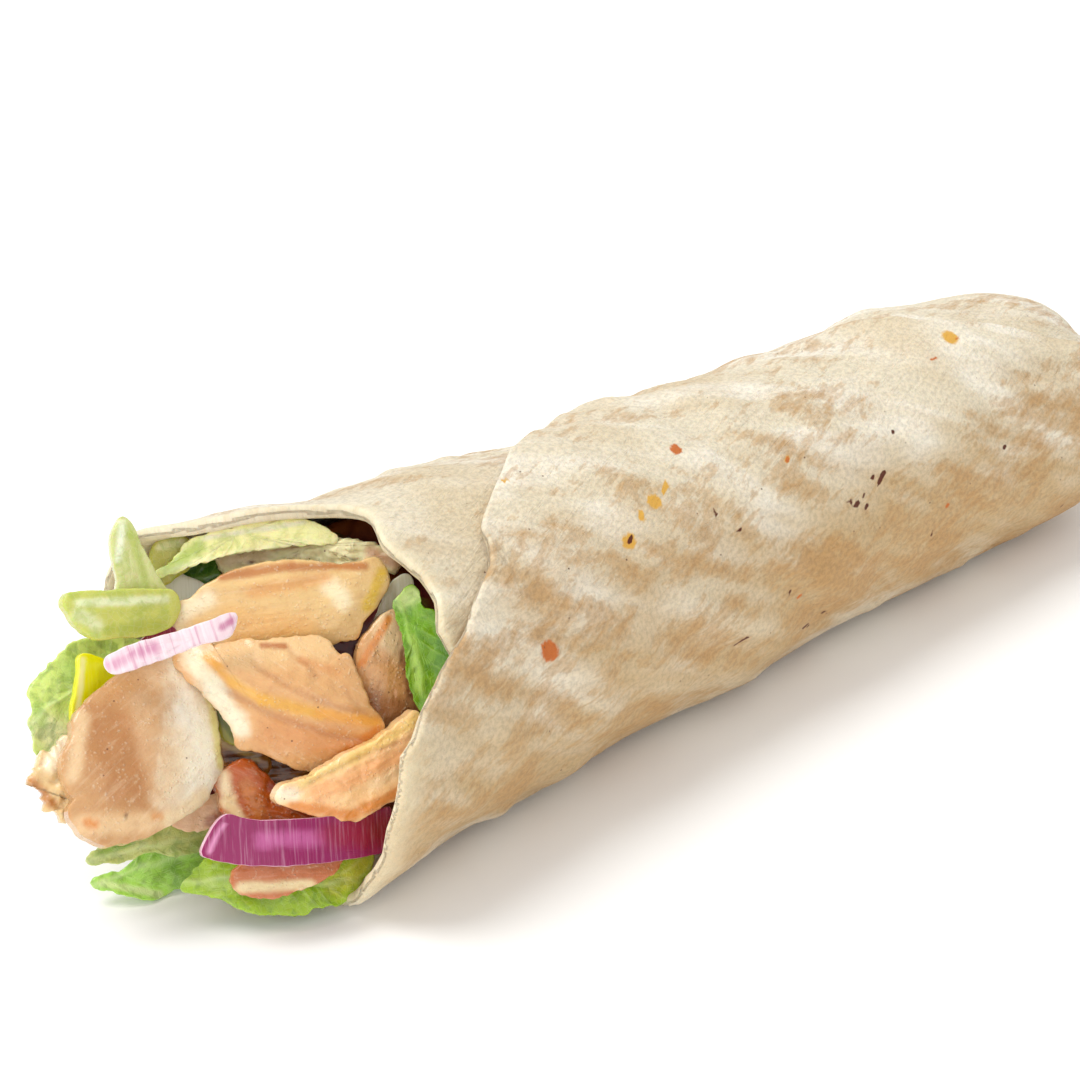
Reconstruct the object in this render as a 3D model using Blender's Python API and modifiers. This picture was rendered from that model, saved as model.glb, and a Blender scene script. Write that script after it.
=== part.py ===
"""Gyro wrap: a round flatbread rolled about sliced chicken, lettuce, red onion and pepper.

The roll lies on its side. X runs along it, from the open mouth at -X to the tucked end at +X, and
the loose edge of the bread runs down the side at -Y. The origin is on the flat strip that the roll
rests on, half way along the bread. Sizes below are in millimetres and are turned to metres when
a mesh is made.
"""
import math
from dataclasses import dataclass

import bmesh
import bpy
from mathutils import Vector, noise

MM = 0.001

# The bread and how it is wound
BREAD_THICKNESS = 2.2
WINDING_GAP = 0.6
PITCH = BREAD_THICKNESS + WINDING_GAP
CORE_RADIUS = 29.3
TAPER = 0.02
MOUTH_TO_MIDDLE = 118.0
FLAT_SINK = 1.7
WINDING_START = -120.0

# The tucked end: it rounds off over END_REACH from END_START, and is this far measured over its curve
END_START = 208.0
END_REACH = 34.0
END_PATH = 46.0
END_HOLE = 1.6
END_LENGTH = END_START + END_PATH

# How finely the bread is divided: columns round it, and rows as stretches of start, end and count
WINDING_STEP = 9.6
ROW_STRETCHES = ((4.0, 64.0, 10), (64.0, 168.0, 8), (168.0, 212.0, 9), (212.0, END_LENGTH, 7))

# The mouth's edge: x of the bread's cut edge at each winding angle
RIM_OF_BREAD = (
    (-120, 30), (-59, 23), (-39, 25), (-17, 23), (-1, 27), (12, 22), (28, 3), (40, -7), (90, -8),
    (140, -5), (180, -1), (221, 1), (257, 1), (277, 4),
)
# The loose edge: winding angle that it reaches at each x
LOOSE_EDGE = (
    (4, 278), (16, 294), (27, 306), (34, 316), (39, 323), (42, 334), (49, 344), (57, 354), (65, 363),
    (77, 372), (90, 380), (110, 388), (130, 391), (150, 386), (165, 371), (178, 352), (188, 344),
    (200, 333), (216, 316), (235, 302), (262, 292),
)
RIM_START = 4.0

# Bumps and hollows of the roll: winding angle, x, height, spread in degrees and length
BUMPS = (
    (33, 12, 1.4, 38, 10), (33, 48, 1.7, 38, 13), (33, 128, -1.8, 48, 32), (33, 179, 3.6, 42, 18),
    (213, 6, 2.6, 42, 24), (213, 46, 1.8, 38, 16), (213, 200, 0.6, 40, 20),
)
# Long gentle waves of the roll: height, lobes round it, turn for each millimetre along, start
WAVES = ((0.35, 2, 0.045, 0.0), (0.30, 3, -0.070, 1.3), (0.25, 5, 0.110, 0.4))
# The gathers of the tucked end, and how far the back of the end is pressed down
PLEATS = 6
PLEAT_DEPTH = 0.6
BACK_SLOPE = 2.0
BACK_ANGLE = 30.0
# The bread opens towards the mouth, most in its outer winding and at the rim's inner corner
INNER_FLARE = 1.4
OUTER_FLARE = 2.6
CORNER_RISE = 6.5
EDGE_LIFT = 1.6

# The roll bears on three spots of its flat strip, each a winding angle and a distance along. The rest of
# the strip stands REST_RISE off the surface, and its middle REST_GAP.
REST_SPOTS = ((206.4, 4.0), (158.4, 116.0), (196.8, 202.2))
REST_RISE = 0.35
REST_GAP = 0.02

# The filling behind the pieces: its front leans and curves as they do, by terms in y and z
FRONT_MIDDLE = 17.4
FRONT_SLOPES = (-0.81, 0.75)
FRONT_CURVES = (-0.0245, 0.0178, 0.0080)
FRONT_LOWEST = -8.0
FRONT_LUMP = 2.5
FRONT_RADIUS = 28.0
FRONT_SHARE = 0.3
FILLING_GAP = 0.9
FILLING_SEGMENTS = 22
FILLING_RINGS = 18
FILLING_END_ROOM = 1.2

# A slice bulges by this much of noise, in waves of this many for each millimetre
SLICE_NOISE = 0.45
NOISE_WAVES = 0.16

# The face of the mouth: the plane that the pieces of filling are placed on
FACE_TURN = -36.28
FACE_RISE = 61.12

AXIS_SLOPE = math.atan(TAPER)
BOTTOM_RADIUS = CORE_RADIUS + PITCH * (180.0 - WINDING_START) / 360.0 + BREAD_THICKNESS / 2
AXIS_HEIGHT = BOTTOM_RADIUS - FLAT_SINK


@dataclass(frozen=True)
class Piece:
    """One piece of filling: where it lies on the mouth's face, its outline and how it curves."""

    name: str
    place: tuple
    tilt: tuple
    outline: tuple
    thickness: float
    look: str
    curl: tuple = (0.0, 0.0, 0.0)
    ruffle: float = 0.0
    ruffles: int = 0
    ridge: tuple = ()
    leaf: bool = False
    middle: tuple = (0.0, 0.0)
    columns: int = 20
    rings: int = 4


# Name, sRGB colour, roughness
LOOKS = {
    "bread": ("EDE3CF", 0.75),
    "chicken": ("D9A870", 0.45),
    "chicken_pale": ("EBCFA0", 0.5),
    "chicken_brown": ("A8672F", 0.35),
    "chicken_gold": ("E09A4B", 0.4),
    "filling": ("5A2A16", 0.5),
    "lettuce": ("5FA52B", 0.35),
    "lettuce_pale": ("BFD98F", 0.35),
    "lettuce_dark": ("2F5A12", 0.35),
    "pepper": ("D9D800", 0.25),
    "pickle": ("8A5A18", 0.2),
    "onion_red": ("A8246B", 0.25),
    "onion_pink": ("D9A3BE", 0.3),
    "onion_white": ("E6E2C8", 0.3),
    "onion_dark": ("6A1414", 0.3),
}

PIECES = (
    Piece("chicken_front", (-18.6, -3.9, 9.0), (-8, 18), (
        (-13.5, -3), (-12, 4), (-9, 8.5), (-2.5, 13), (4, 16), (9, 14.5), (11, 9.5), (12, 4), (12.5, -4),
        (9.5, -9), (4, -12.5), (-2.5, -15), (-9.5, -15), (-13.5, -11)), 4.4, "chicken", (-1.6, -2.2, 0.8)),
    Piece("chicken_ragged_end", (-34.6, -7.4, 8.0), (0, 15), (
        (-4.5, -1), (-2, 2.5), (0.5, 4.5), (4, 5.5), (3.4, 1.5), (3, -4), (2.5, -6), (0.5, -8),
        (-1.5, -6.5), (-2, -3)), 3.6, "chicken_pale", (-0.5, -0.6, 0), columns=16, rings=3),
    Piece("chicken_top_slice", (4.8, 19.9, 3.0), (6, 0), (
        (-20, -1.5), (-17.5, 1), (-12, 3.5), (-2.5, 6.5), (6.5, 7), (17, 7), (20, 3.5), (18, 0),
        (14.5, -3.5), (13.5, -6.5), (4, -7), (-6.5, -7), (-14.5, -6.5), (-18.5, -5)), 4.0, "chicken_gold",
        (-1.5, -0.8, 0)),
    Piece("chicken_fold", (5.9, 2.0, 8.5), (0, 0), (
        (-17.5, 9.4), (-13.5, 11), (-7, 10), (-0.5, 10.6), (6, 10.2), (10.5, 7.5), (12.5, 3.5), (15.5, -3),
        (15.5, -5.5), (10, -8), (5, -9.8), (-1, -9.6), (-7, -6.5), (-9, -4), (-12.5, 3), (-15, 6)), 4.6,
        "chicken_gold", (-3.6, -2.2, 0), ridge=(-13, 8, 15, -3, 1.6, 3.0)),
    Piece("chicken_right_slice", (23.8, 6.7, 3.0), (0, 10), (
        (1.5, 10), (-2, 9), (-5, 4), (-6, 0.5), (-5.5, -3.5), (-4, -7), (-3, -9), (0.5, -9), (4.5, -6.5),
        (4.8, -3.5), (4, 0), (3.6, 5.5), (3.4, 8)), 3.6, "chicken_brown", (-0.8, -1.2, 0)),
    Piece("chicken_strip", (16.2, -9.5, 11.0), (4, 16), (
        (-13.5, -3.5), (-9.5, -1.5), (-4, 1), (3.5, 4), (11, 7.6), (12.5, 5), (11.5, 1), (8.5, -3.5),
        (4, -6.6), (-0.5, -8), (-6.5, -7.3), (-11.5, -5)), 4.0, "chicken_gold", (-0.8, -1.0, 0)),
    Piece("chicken_chunk", (0.6, -13.6, 3.0), (0, 8), (
        (-8.5, 3.5), (-3, 6), (1, 3), (4, -1), (7.5, -2.6), (8, -5.5), (0.5, -6), (-6, -4), (-8, -0.5)), 4.6,
        "chicken_gold", (-0.6, -0.5, 0), columns=16, rings=3),
    Piece("chicken_small", (-9.6, -16.1, -1.0), (0, 0), (
        (-5.5, -1.5), (-2.5, 1.5), (1.5, 3), (4.5, 2), (4.4, -0.5), (2.5, -2), (-1.5, -2.5)), 3.0, "chicken",
        columns=14, rings=3),
    Piece("chicken_under_onion", (4.9, -27.1, 8.0), (0, 8), (
        (-10, -1), (-9, 2), (-5, 3.5), (1.5, 3.5), (8.5, 3), (7.5, 1), (4.5, -1), (0.5, -2.5), (-5.5, -3),
        (-9, -2.5)), 2.4, "chicken_pale", (-1.2, 0, 0), columns=16, rings=3),
    Piece("chicken_top_shred", (11.0, 27.8, -5.7), (0, -9), (
        (-16.5, 0), (-15, 2), (-8.5, 3), (0, 2.8), (7.5, 1.6), (13, -0.4), (15, -2), (14, -3.2), (9, -2.2),
        (2.5, -2.5), (-2, -1.8), (-6, -0.2), (-8.5, -1.8), (-15, -2)), 3.0, "chicken_pale", (-1.5, 0, 0),
        middle=(-5, 1.5)),
    Piece("lettuce_left", (-28.9, 6.5, -3.5), (0, 20), (
        (-9.5, 1), (-6, 4.5), (-3, 8), (1, 9.5), (7.5, 9), (11, 6), (8.5, 1), (4, -4.5), (0, -9.5),
        (-5, -10), (-8.5, -10.5), (-9.5, -6), (-10, -2.5)), 0.9, "lettuce", (-2.0, -1.5, 1.0), 0.7, 4,
        leaf=True, columns=22),
    Piece("pepper_strip", (-26.9, 6.7, 1.5), (0, 20), (
        (-2, 6), (2.5, 4.5), (5.5, 3), (4.5, -0.5), (1, -4), (-1.5, -6), (-4.5, -5.5), (-4, -1.5),
        (-3, 2.5)), 2.4, "pepper", (0, -0.8, 0), columns=14, rings=3),
    Piece("stem_flat", (-22.8, 19.7, 9.0), (0, 25), (
        (-9.5, 2), (-8.5, 3.5), (0, 3.5), (9.5, 3.3), (11, 1), (10, -2.5), (5.5, -3.5), (-2, -4), (-6, -3),
        (-9, 0)), 3.0, "lettuce_pale", (-0.8, 0, 0), columns=16, rings=3),
    Piece("stem_upright", (-18.6, 28.9, 4.5), (0, 15), (
        (-3, 7.5), (-4.5, 4.5), (-5, 1.5), (-4, -2.5), (-3.5, -5.8), (4, -5.8), (3.8, -5), (2.5, -3),
        (1, 0.5), (-1, 4.5)), 2.6, "lettuce_pale", (0, -0.8, 0), columns=14, rings=3),
    Piece("lettuce_top_blade", (0.9, 29.8, -1.2), (0, 7), (
        (-16.5, -4), (-13.5, -1.5), (-10.5, 1.5), (-6, 2.5), (0, 4), (7.5, 4.6), (12.5, 3.4), (14.5, 1.8),
        (11, 1.2), (5.5, 0.7), (0, 0.1), (-9, -1.5)), 0.9, "lettuce_pale", (-1.0, 0, 0), 0.3, 3, leaf=True,
        middle=(-2, 1.8)),
    Piece("lettuce_stub", (-13.4, 28.9, -3.4), (0, 10), (
        (-3.5, 0.5), (-1.5, 2.5), (1.5, 3.3), (3.3, 2), (3.3, -0.5), (1.5, -2), (-1.5, -4), (-3, -4)), 2.6,
        "pepper", columns=14, rings=3),
    Piece("lettuce_dark_leaf", (-9.1, 24.8, -9.5), (0, 0), (
        (-5.5, 2), (-2, 4), (1.4, 4.6), (3.2, 3.4), (3.8, 0), (2.2, -2.4), (-2, -4), (-5, -3.5),
        (-6.5, -1.5)), 0.9,
        "lettuce_dark", (0.6, -0.6, 0), 0.3, 3, leaf=True, columns=16),
    Piece("lettuce_right", (29.9, 9.2, 9.0), (0, 0), (
        (-4, 9), (-1, 12), (0, 9), (2, 7.5), (3.5, 4), (4.4, -2), (2.8, -7), (0.5, -11), (-1.5, -9),
        (-2.5, -4), (-3, 1), (-3.5, 5.5)), 0.9, "lettuce", (1.0, -1.6, 0), 0.3, 3, leaf=True),
    Piece("onion_dark_layer", (18.1, 12.1, -4.5), (0, 0), (
        (-7.5, 2), (0, 3.5), (5, 8), (7.6, 7), (6.5, 2.5), (4, -4), (-0.5, -5), (-5, -2.5)), 1.6,
        "onion_dark", (0, -1.0, 0), columns=14, rings=3),
    Piece("onion_pale_sliver", (26.0, 19.6, -2.0), (0, 0), (
        (-3.5, -4.5), (-2, -0.5), (0.5, 3.3), (2.6, 4), (3, 2), (1, -1.5), (-1.5, -4)), 1.4, "onion_white",
        columns=12, rings=3),
    Piece("pickle_left", (-2.9, -6.2, -2.0), (0, 0), (
        (-6, 4.5), (-4, 4), (-1.5, 3), (2, 1), (5, -1.5), (3.5, -4), (0, -2.5), (-4, -0.5)), 2.6, "pickle",
        columns=14, rings=3),
    Piece("pickle_right", (4.6, -8.7, -6.0), (0, 0), (
        (-9.5, 7.5), (-3.5, 5), (1.5, 1.5), (8, -2), (7, -5), (1, -5), (-4, -1.5), (-9, 3.5)), 2.8, "pickle",
        columns=14, rings=3),
    Piece("pickle_edge", (-5.5, 0.8, 1.5), (0, 0), (
        (-3.5, 5.5), (-1.5, 3.5), (1, 0), (3.5, -3.5), (2.5, -5), (0, -3.5), (-2, 0.5)), 1.8, "pepper",
        columns=12, rings=3),
    Piece("onion_red_tip", (-16.2, 14.9, 4.2), (0, 20), (
        (-3, -1), (-1, 0.8), (2.5, 1.7), (3, 0), (1, -1.2), (-1.5, -1.7)), 1.2, "onion_dark", columns=12,
        rings=3),
    Piece("onion_white_layer", (-13.3, 25.0, -6.8), (0, 0), (
        (-4.5, 3.6), (-2.5, 4), (-0.5, 3), (2, 1), (5.5, -1), (5, -4), (-1, -5), (-4.5, -2)), 1.2,
        "onion_white", columns=14, rings=3),
    Piece("onion_pink_strip", (-13.6, 13.6, 14.5), (0, 0), (
        (-10.8, -2), (-6, -0.5), (-1, 1.5), (5, 3), (11, 4), (11.4, 3), (10, 1.2), (5, 0), (0, -1.5),
        (-5, -3), (-10, -4)), 1.6, "onion_pink", (-1.2, 0, 0), columns=18, rings=3),
    Piece("onion_band", (6.9, -21.2, 13.0), (0, 14), (
        (-16.5, -0.5), (-15, 2), (-13, 4.2), (-9, 3.6), (-2, 3.2), (5, 3), (10.5, 3.4), (15.5, 3.6),
        (15.5, -2.5), (8.5, -3.3), (-0.5, -3.5), (-9.5, -3.2), (-14, -2.2)), 1.9, "onion_red",
        (-3.5, 0.5, 0), columns=20, rings=3),
    Piece("lettuce_bottom", (4.5, -29.3, 3.0), (-12, 10), (
        (-18, 1.5), (-14.5, 5.5), (-8.5, 6.5), (2, 6.5), (10, 6), (14, 5), (13.5, 2), (11.5, -0.5),
        (8.5, -2.2), (5, -3.5), (1.5, -5), (-5, -4), (-9, -2.5), (-13, 0)), 0.9, "lettuce",
        (-1.5, -0.6, 0), 0.5, 5, leaf=True, columns=24),
    Piece("lettuce_curled", (-19.7, -25.2, -9.0), (0, 12), (
        (-10, -1), (-8, 0), (-5.5, 0), (-2, 2.5), (0.5, 5), (5.5, 6), (10, 6.5), (14.5, 6.5), (15, 4),
        (11.5, 0.5), (8, -1.5), (5.5, -3), (2, -3.5), (0.5, -4.5), (-2.5, -4.5), (-5, -3), (-8.5, -2)), 0.9,
        "lettuce", (-1.0, 2.0, 0), 0.5, 4, leaf=True, middle=(0.5, -1), columns=22),
    Piece("lettuce_pale_blade", (-19.2, -21.3, -4.0), (0, 18), (
        (-11, -1.5), (-8.5, 0), (-5, 1), (1.5, 2), (8, 3), (11, 1.5), (10, -1.5), (2.5, -1.5),
        (-0.5, -0.6), (-3, -0.8), (-6, -2)), 0.9, "lettuce_pale", (-1.0, 0, 0), leaf=True, middle=(-1, 0.85),
        columns=18, rings=3),
)


def clear_scene() -> None:
    for item in list(bpy.data.objects):
        bpy.data.objects.remove(item, do_unlink=True)


def make_collection(name: str) -> bpy.types.Collection:
    collection = bpy.data.collections.new(name)
    bpy.context.scene.collection.children.link(collection)
    return collection


def linear(hex_colour: str) -> tuple:
    """An sRGB hex colour as linear red, green, blue and alpha."""
    parts = [int(hex_colour[i:i + 2], 16) / 255 for i in (0, 2, 4)]
    return tuple(p / 12.92 if p <= 0.04045 else ((p + 0.055) / 1.055) ** 2.4 for p in parts) + (1.0,)


def make_material(look: str) -> bpy.types.Material:
    if look in bpy.data.materials:
        return bpy.data.materials[look]
    colour, roughness = LOOKS[look]
    material = bpy.data.materials.new(look)
    material.use_nodes = True
    shader = material.node_tree.nodes["Principled BSDF"]
    shader.inputs["Base Color"].default_value = linear(colour)
    shader.inputs["Roughness"].default_value = roughness
    shader.inputs["Metallic"].default_value = 0.0
    return material


def ease(value: float, low: float, high: float) -> float:
    """A smooth step from 0 at low to 1 at high."""
    t = min(1.0, max(0.0, (value - low) / (high - low)))
    return t * t * (3 - 2 * t)


def curve_value(points: tuple, at: float) -> float:
    """The height at a place of a smooth curve through the points, level beyond its ends."""
    if at <= points[0][0]:
        return points[0][1]
    for i in range(len(points) - 1):
        (x0, y0), (x1, y1) = points[i], points[i + 1]
        if at <= x1:
            before = points[max(i - 1, 0)]
            after = points[min(i + 2, len(points) - 1)]
            t = (at - x0) / (x1 - x0)
            slope0 = (y1 - before[1]) / (x1 - before[0]) * (x1 - x0)
            slope1 = (after[1] - y0) / (after[0] - x0) * (x1 - x0)
            return ((2 * t**3 - 3 * t**2 + 1) * y0 + (t**3 - 2 * t**2 + t) * slope0
                    + (3 * t**2 - 2 * t**3) * y1 + (t**3 - t**2) * slope1)
    return points[-1][1]


def floor_height(x: float, above: float) -> float:
    """Height, in the roll's own frame, of the level that lies so far above the resting surface."""
    return (above - AXIS_HEIGHT + math.sin(AXIS_SLOPE) * x) / math.cos(AXIS_SLOPE)


def meridian(along: float) -> tuple:
    """The innermost winding's profile: x, radius and the outward direction at a distance along it."""
    if along <= END_START:
        return along, CORE_RADIUS - TAPER * along, 0.0, 1.0
    start_radius = CORE_RADIUS - TAPER * END_START
    drop = start_radius - END_HOLE
    angle = min(1.0, (along - END_START) / END_PATH) * math.pi / 2
    out = Vector((drop * math.sin(angle), END_REACH * math.cos(angle))).normalized()
    return END_START + END_REACH * math.sin(angle), start_radius - drop * (1 - math.cos(angle)), out.x, out.y


def bell(distance: float, width: float) -> float:
    """A smooth hump, 1 at no distance and a third at its width."""
    return math.exp(-(distance / width) ** 2)


def angle_between(winding: float, other: float) -> float:
    """Degrees round the roll from one winding angle to another, between -180 and 180."""
    return (winding - other + 180.0) % 360.0 - 180.0


def lumps(winding: float, along: float) -> float:
    """How far the filling pushes the bread out, the same for every winding at one angle."""
    turn = math.radians(winding)
    rise = sum(height * math.cos(lobes * turn + advance * along + phase)
               for height, lobes, advance, phase in WAVES)
    for angle, place, height, spread, length in BUMPS:
        rise += height * bell(angle_between(winding, angle), spread) * bell(along - place, length)
    return rise * ease(END_LENGTH - along, 4, 30)


def pleats(winding: float, along: float) -> float:
    """The gathers of the tucked end, and the slope where it is pressed down at the back."""
    gathers = PLEAT_DEPTH * math.cos(PLEATS * math.radians(winding)) * ease(along, 205, 225)
    slope = BACK_SLOPE * ease(along, 198, 230) * bell(angle_between(winding, BACK_ANGLE), 55)
    return (gathers - slope) * ease(END_LENGTH - along, 3, 22)


def rest_height(winding: float, along: float) -> float:
    """Height of the flat strip's outer face over the surface it rests on."""
    if any(abs(winding - spot[0]) < 1 and abs(along - spot[1]) < 1 for spot in REST_SPOTS):
        return 0.0
    return REST_GAP if abs(winding - 180) < 9 and 89 < along < 143 else REST_RISE


def edge_lift(winding: float, along: float) -> float:
    """The loose edge stands a little off the roll where it climbs over the top."""
    return EDGE_LIFT * bell(curve_value(LOOSE_EDGE, along) - winding, 30) * bell(along - 74, 20)


def bread_point(winding: float, along: float) -> Vector:
    """A point of the bread's middle surface, in the roll's own frame, before it rests on anything."""
    x, radius, out_x, out_radius = meridian(along)
    near_mouth = 1 - ease(along, -8, 48)
    flare = near_mouth * (INNER_FLARE + OUTER_FLARE * ease(winding, 215, 262))
    corner = CORNER_RISE * bell(winding - 40, 22) * math.exp(-(max(along, -8) + 8) / 30)
    offset = (PITCH * (winding - WINDING_START) / 360 + lumps(winding, along) + pleats(winding, along)
              + edge_lift(winding, along) + flare + corner)
    radius = radius + offset * out_radius
    turn = math.radians(winding)
    return Vector((x + offset * out_x, radius * math.sin(turn), radius * math.cos(turn)))


def bread_rows() -> list:
    """Distances along the roll of the bread's rows, closer where its loose edge is steep."""
    rows = [ROW_STRETCHES[0][0]]
    for start, end, count in ROW_STRETCHES:
        rows += [start + (end - start) * (i + 1) / count for i in range(count)]
    return rows


def place_on_bread(winding: float, along: float) -> Vector:
    """A point of the wound bread, with its rows drawn forward or back to the mouth's cut edge."""
    shift = curve_value(RIM_OF_BREAD, winding) - RIM_START
    fade = max(0.0, 1 - (along - RIM_START) / 120.0) ** 2
    point = bread_point(winding, along + shift * fade)
    if 140 < winding < 220:
        above = rest_height(winding, along)
        floor = floor_height(point.x, BREAD_THICKNESS / 2 + above)
        point.z = max(point.z, floor) if above > 0 else floor
    return point


def finish_mesh(bm: bmesh.types.BMesh, name: str, look: str) -> bpy.types.Object:
    mesh = bpy.data.meshes.new(name)
    bm.to_mesh(mesh)
    bm.free()
    mesh.shade_smooth()
    mesh.materials.append(make_material(look))
    return bpy.data.objects.new(name, mesh)


def face_outward(bm: bmesh.types.BMesh) -> None:
    if bm.calc_volume(signed=True) < 0:
        bmesh.ops.reverse_faces(bm, faces=bm.faces[:])


def add_solidify(item: bpy.types.Object, thickness: float) -> None:
    solid = item.modifiers.new("thickness", "SOLIDIFY")
    solid.thickness = thickness * MM
    solid.offset = 0.0
    solid.use_rim = True


def make_bread() -> bpy.types.Object:
    """The bread is laid out flat first, trimmed to its loose edge, and then wound."""
    rows = bread_rows()
    columns = math.ceil((max(point[1] for point in LOOSE_EDGE) - WINDING_START) / WINDING_STEP)
    bm = bmesh.new()
    bmesh.ops.create_grid(bm, x_segments=columns, y_segments=len(rows) - 1, size=0.5)
    for vert in bm.verts:
        along = rows[round((vert.co.y + 0.5) * (len(rows) - 1))]
        winding = WINDING_START + WINDING_STEP * round((vert.co.x + 0.5) * columns)
        edge = curve_value(LOOSE_EDGE, along)
        if winding > edge - 0.45 * WINDING_STEP:
            winding = edge
        vert.co = (math.radians(winding) * CORE_RADIUS, along, 0.0)
    bmesh.ops.remove_doubles(bm, verts=bm.verts[:], dist=0.001)
    bmesh.ops.triangulate(bm, faces=bm.faces[:])
    for vert in bm.verts:
        vert.co = place_on_bread(math.degrees(vert.co.x / CORE_RADIUS), vert.co.y) * MM
    bmesh.ops.reverse_faces(bm, faces=bm.faces[:])
    item = finish_mesh(bm, "tortilla", "bread")
    add_solidify(item, BREAD_THICKNESS)
    return item


def filling_wall(turn: float, along: float) -> tuple:
    """The filling's surface just inside the bread, at an angle and a distance along the profile."""
    winding = math.degrees(turn)
    if winding < WINDING_START:
        winding += 360.0
    if winding >= WINDING_START + 360.0:
        winding -= 360.0
    step_down = ease(winding, 190, 236)
    inner = PITCH * (winding - WINDING_START) / 360 * (1 - step_down)
    x, radius, out_x, out_radius = meridian(along)
    end_room = FILLING_END_ROOM * ease(along, 150, 190)
    offset = (inner + lumps(winding, along) + pleats(winding, along) - BREAD_THICKNESS / 2 - FILLING_GAP
              - end_room)
    return x + offset * out_x, max(0.0, radius + offset * out_radius)


def front_place(turn: float, radius: float) -> float:
    """X of the filling's front at an angle and a radius."""
    y, z = radius * math.sin(turn), radius * math.cos(turn)
    lean = FRONT_SLOPES[0] * y + FRONT_SLOPES[1] * z
    curve = FRONT_CURVES[0] * y * y + FRONT_CURVES[1] * y * z + FRONT_CURVES[2] * z * z
    return max(FRONT_LOWEST, FRONT_MIDDLE + lean + curve)


def filling_point(turn: float, share: float) -> Vector:
    """A point of the filling: share 0 is the middle of its front and 1 the middle of its end."""
    start = front_place(turn, FRONT_RADIUS)
    wall_radius = filling_wall(turn, start)[1]
    if share < FRONT_SHARE:
        part = math.sin(math.pi / 2 * share / FRONT_SHARE)
        radius = wall_radius * part
        lump = FRONT_LUMP * (1 + math.cos(3 * turn + 1.0)) * part * (1 - part)
        x = front_place(turn, radius) + lump
    else:
        part = (share - FRONT_SHARE) / (1 - FRONT_SHARE)
        x, radius = filling_wall(turn, start + (END_LENGTH - start) * part)
        radius *= 1 - ease(part, 0.85, 1.0)
    point = Vector((x, radius * math.sin(turn), radius * math.cos(turn)))
    point.z = max(point.z, floor_height(x, BREAD_THICKNESS + FILLING_GAP))
    return point


def make_filling() -> bpy.types.Object:
    bm = bmesh.new()
    bmesh.ops.create_uvsphere(bm, u_segments=FILLING_SEGMENTS, v_segments=FILLING_RINGS, radius=1.0)
    bmesh.ops.triangulate(bm, faces=bm.faces[:])
    for vert in bm.verts:
        share = math.acos(max(-1.0, min(1.0, vert.co.z))) / math.pi
        turn = math.atan2(vert.co.y, vert.co.x)
        vert.co = filling_point(turn, share) * MM
    face_outward(bm)
    return finish_mesh(bm, "filling_core", "filling")


def closed_curve(points: tuple, count: int) -> list:
    """Evenly spaced points of a smooth closed curve through the outline, anticlockwise."""
    area = sum(points[i - 1][0] * points[i][1] - points[i][0] * points[i - 1][1] for i in range(len(points)))
    corners = [Vector(p) for p in (points if area > 0 else points[::-1])]
    steps = 12
    dense = []
    for i in range(len(corners)):
        p0, p1, p2, p3 = (corners[(i + k) % len(corners)] for k in (-1, 0, 1, 2))
        for s in range(steps):
            t = s / steps
            dense.append(0.5 * (2 * p1 + (p2 - p0) * t + (2 * p0 - 5 * p1 + 4 * p2 - p3) * t**2
                                + (3 * p1 - p0 - 3 * p2 + p3) * t**3))
    lengths = [(dense[(i + 1) % len(dense)] - dense[i]).length for i in range(len(dense))]
    total = sum(lengths)
    found = []
    walked = 0.0
    i = 0
    for j in range(count):
        target = total * j / count
        while walked + lengths[i] < target:
            walked += lengths[i]
            i += 1
        t = (target - walked) / lengths[i]
        found.append(dense[i].lerp(dense[(i + 1) % len(dense)], t))
    return found


def piece_height(piece: Piece, x: float, y: float, half: tuple) -> float:
    """How far a piece's middle surface stands out of its flat plane, in millimetres."""
    u, v = x / half[0], y / half[1]
    height = piece.curl[0] * u * u + piece.curl[1] * v * v + piece.curl[2] * u * v
    if piece.ridge:
        x0, y0, x1, y1, rise, width = piece.ridge
        run = Vector((x1 - x0, y1 - y0))
        aside = ((x - x0) * run.y - (y - y0) * run.x) / run.length
        height += rise * bell(aside, width)
    if not piece.leaf:
        own_seed = float(len(piece.name))
        height += SLICE_NOISE * noise.noise(Vector((x * NOISE_WAVES, y * NOISE_WAVES, own_seed)))
    return height


def make_piece(piece: Piece) -> bpy.types.Object:
    """A slice is a rounded slab of its outline. A leaf is a thin wavy sheet of its outline."""
    bm = bmesh.new()
    bmesh.ops.create_uvsphere(bm, u_segments=piece.columns, v_segments=2 * piece.rings, radius=1.0)
    if piece.leaf:
        below = [vert for vert in bm.verts if vert.co.z < -0.001]
        bmesh.ops.delete(bm, geom=below, context="VERTS")
    bmesh.ops.triangulate(bm, faces=bm.faces[:])
    rim = closed_curve(piece.outline, piece.columns)
    half = (max(abs(p.x) for p in rim), max(abs(p.y) for p in rim))
    for vert in bm.verts:
        turn = math.atan2(vert.co.y, vert.co.x) / (2 * math.pi)
        edge = rim[round(turn * piece.columns) % piece.columns]
        polar = math.acos(max(-1.0, min(1.0, abs(vert.co.z))))
        reach = polar / (math.pi / 2) if piece.leaf else math.sin(polar) ** 0.5
        x, y = Vector(piece.middle).lerp(edge, reach)
        height = piece_height(piece, x, y, half)
        if piece.leaf:
            height += piece.ruffle * reach**2 * math.sin(2 * math.pi * piece.ruffles * turn)
        else:
            side = math.copysign(1.0, vert.co.z) if abs(vert.co.z) > 0.001 else 0.0
            height += side * piece.thickness / 2 * math.cos(polar) ** 0.4
        vert.co = Vector((x, y, height)) * MM
    if not piece.leaf:
        face_outward(bm)
    item = finish_mesh(bm, piece.name, piece.look)
    if piece.leaf:
        add_solidify(item, piece.thickness)
    item.location = Vector(piece.place) * MM
    item.rotation_euler = (math.radians(piece.tilt[0]), math.radians(piece.tilt[1]), 0.0)
    return item


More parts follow.
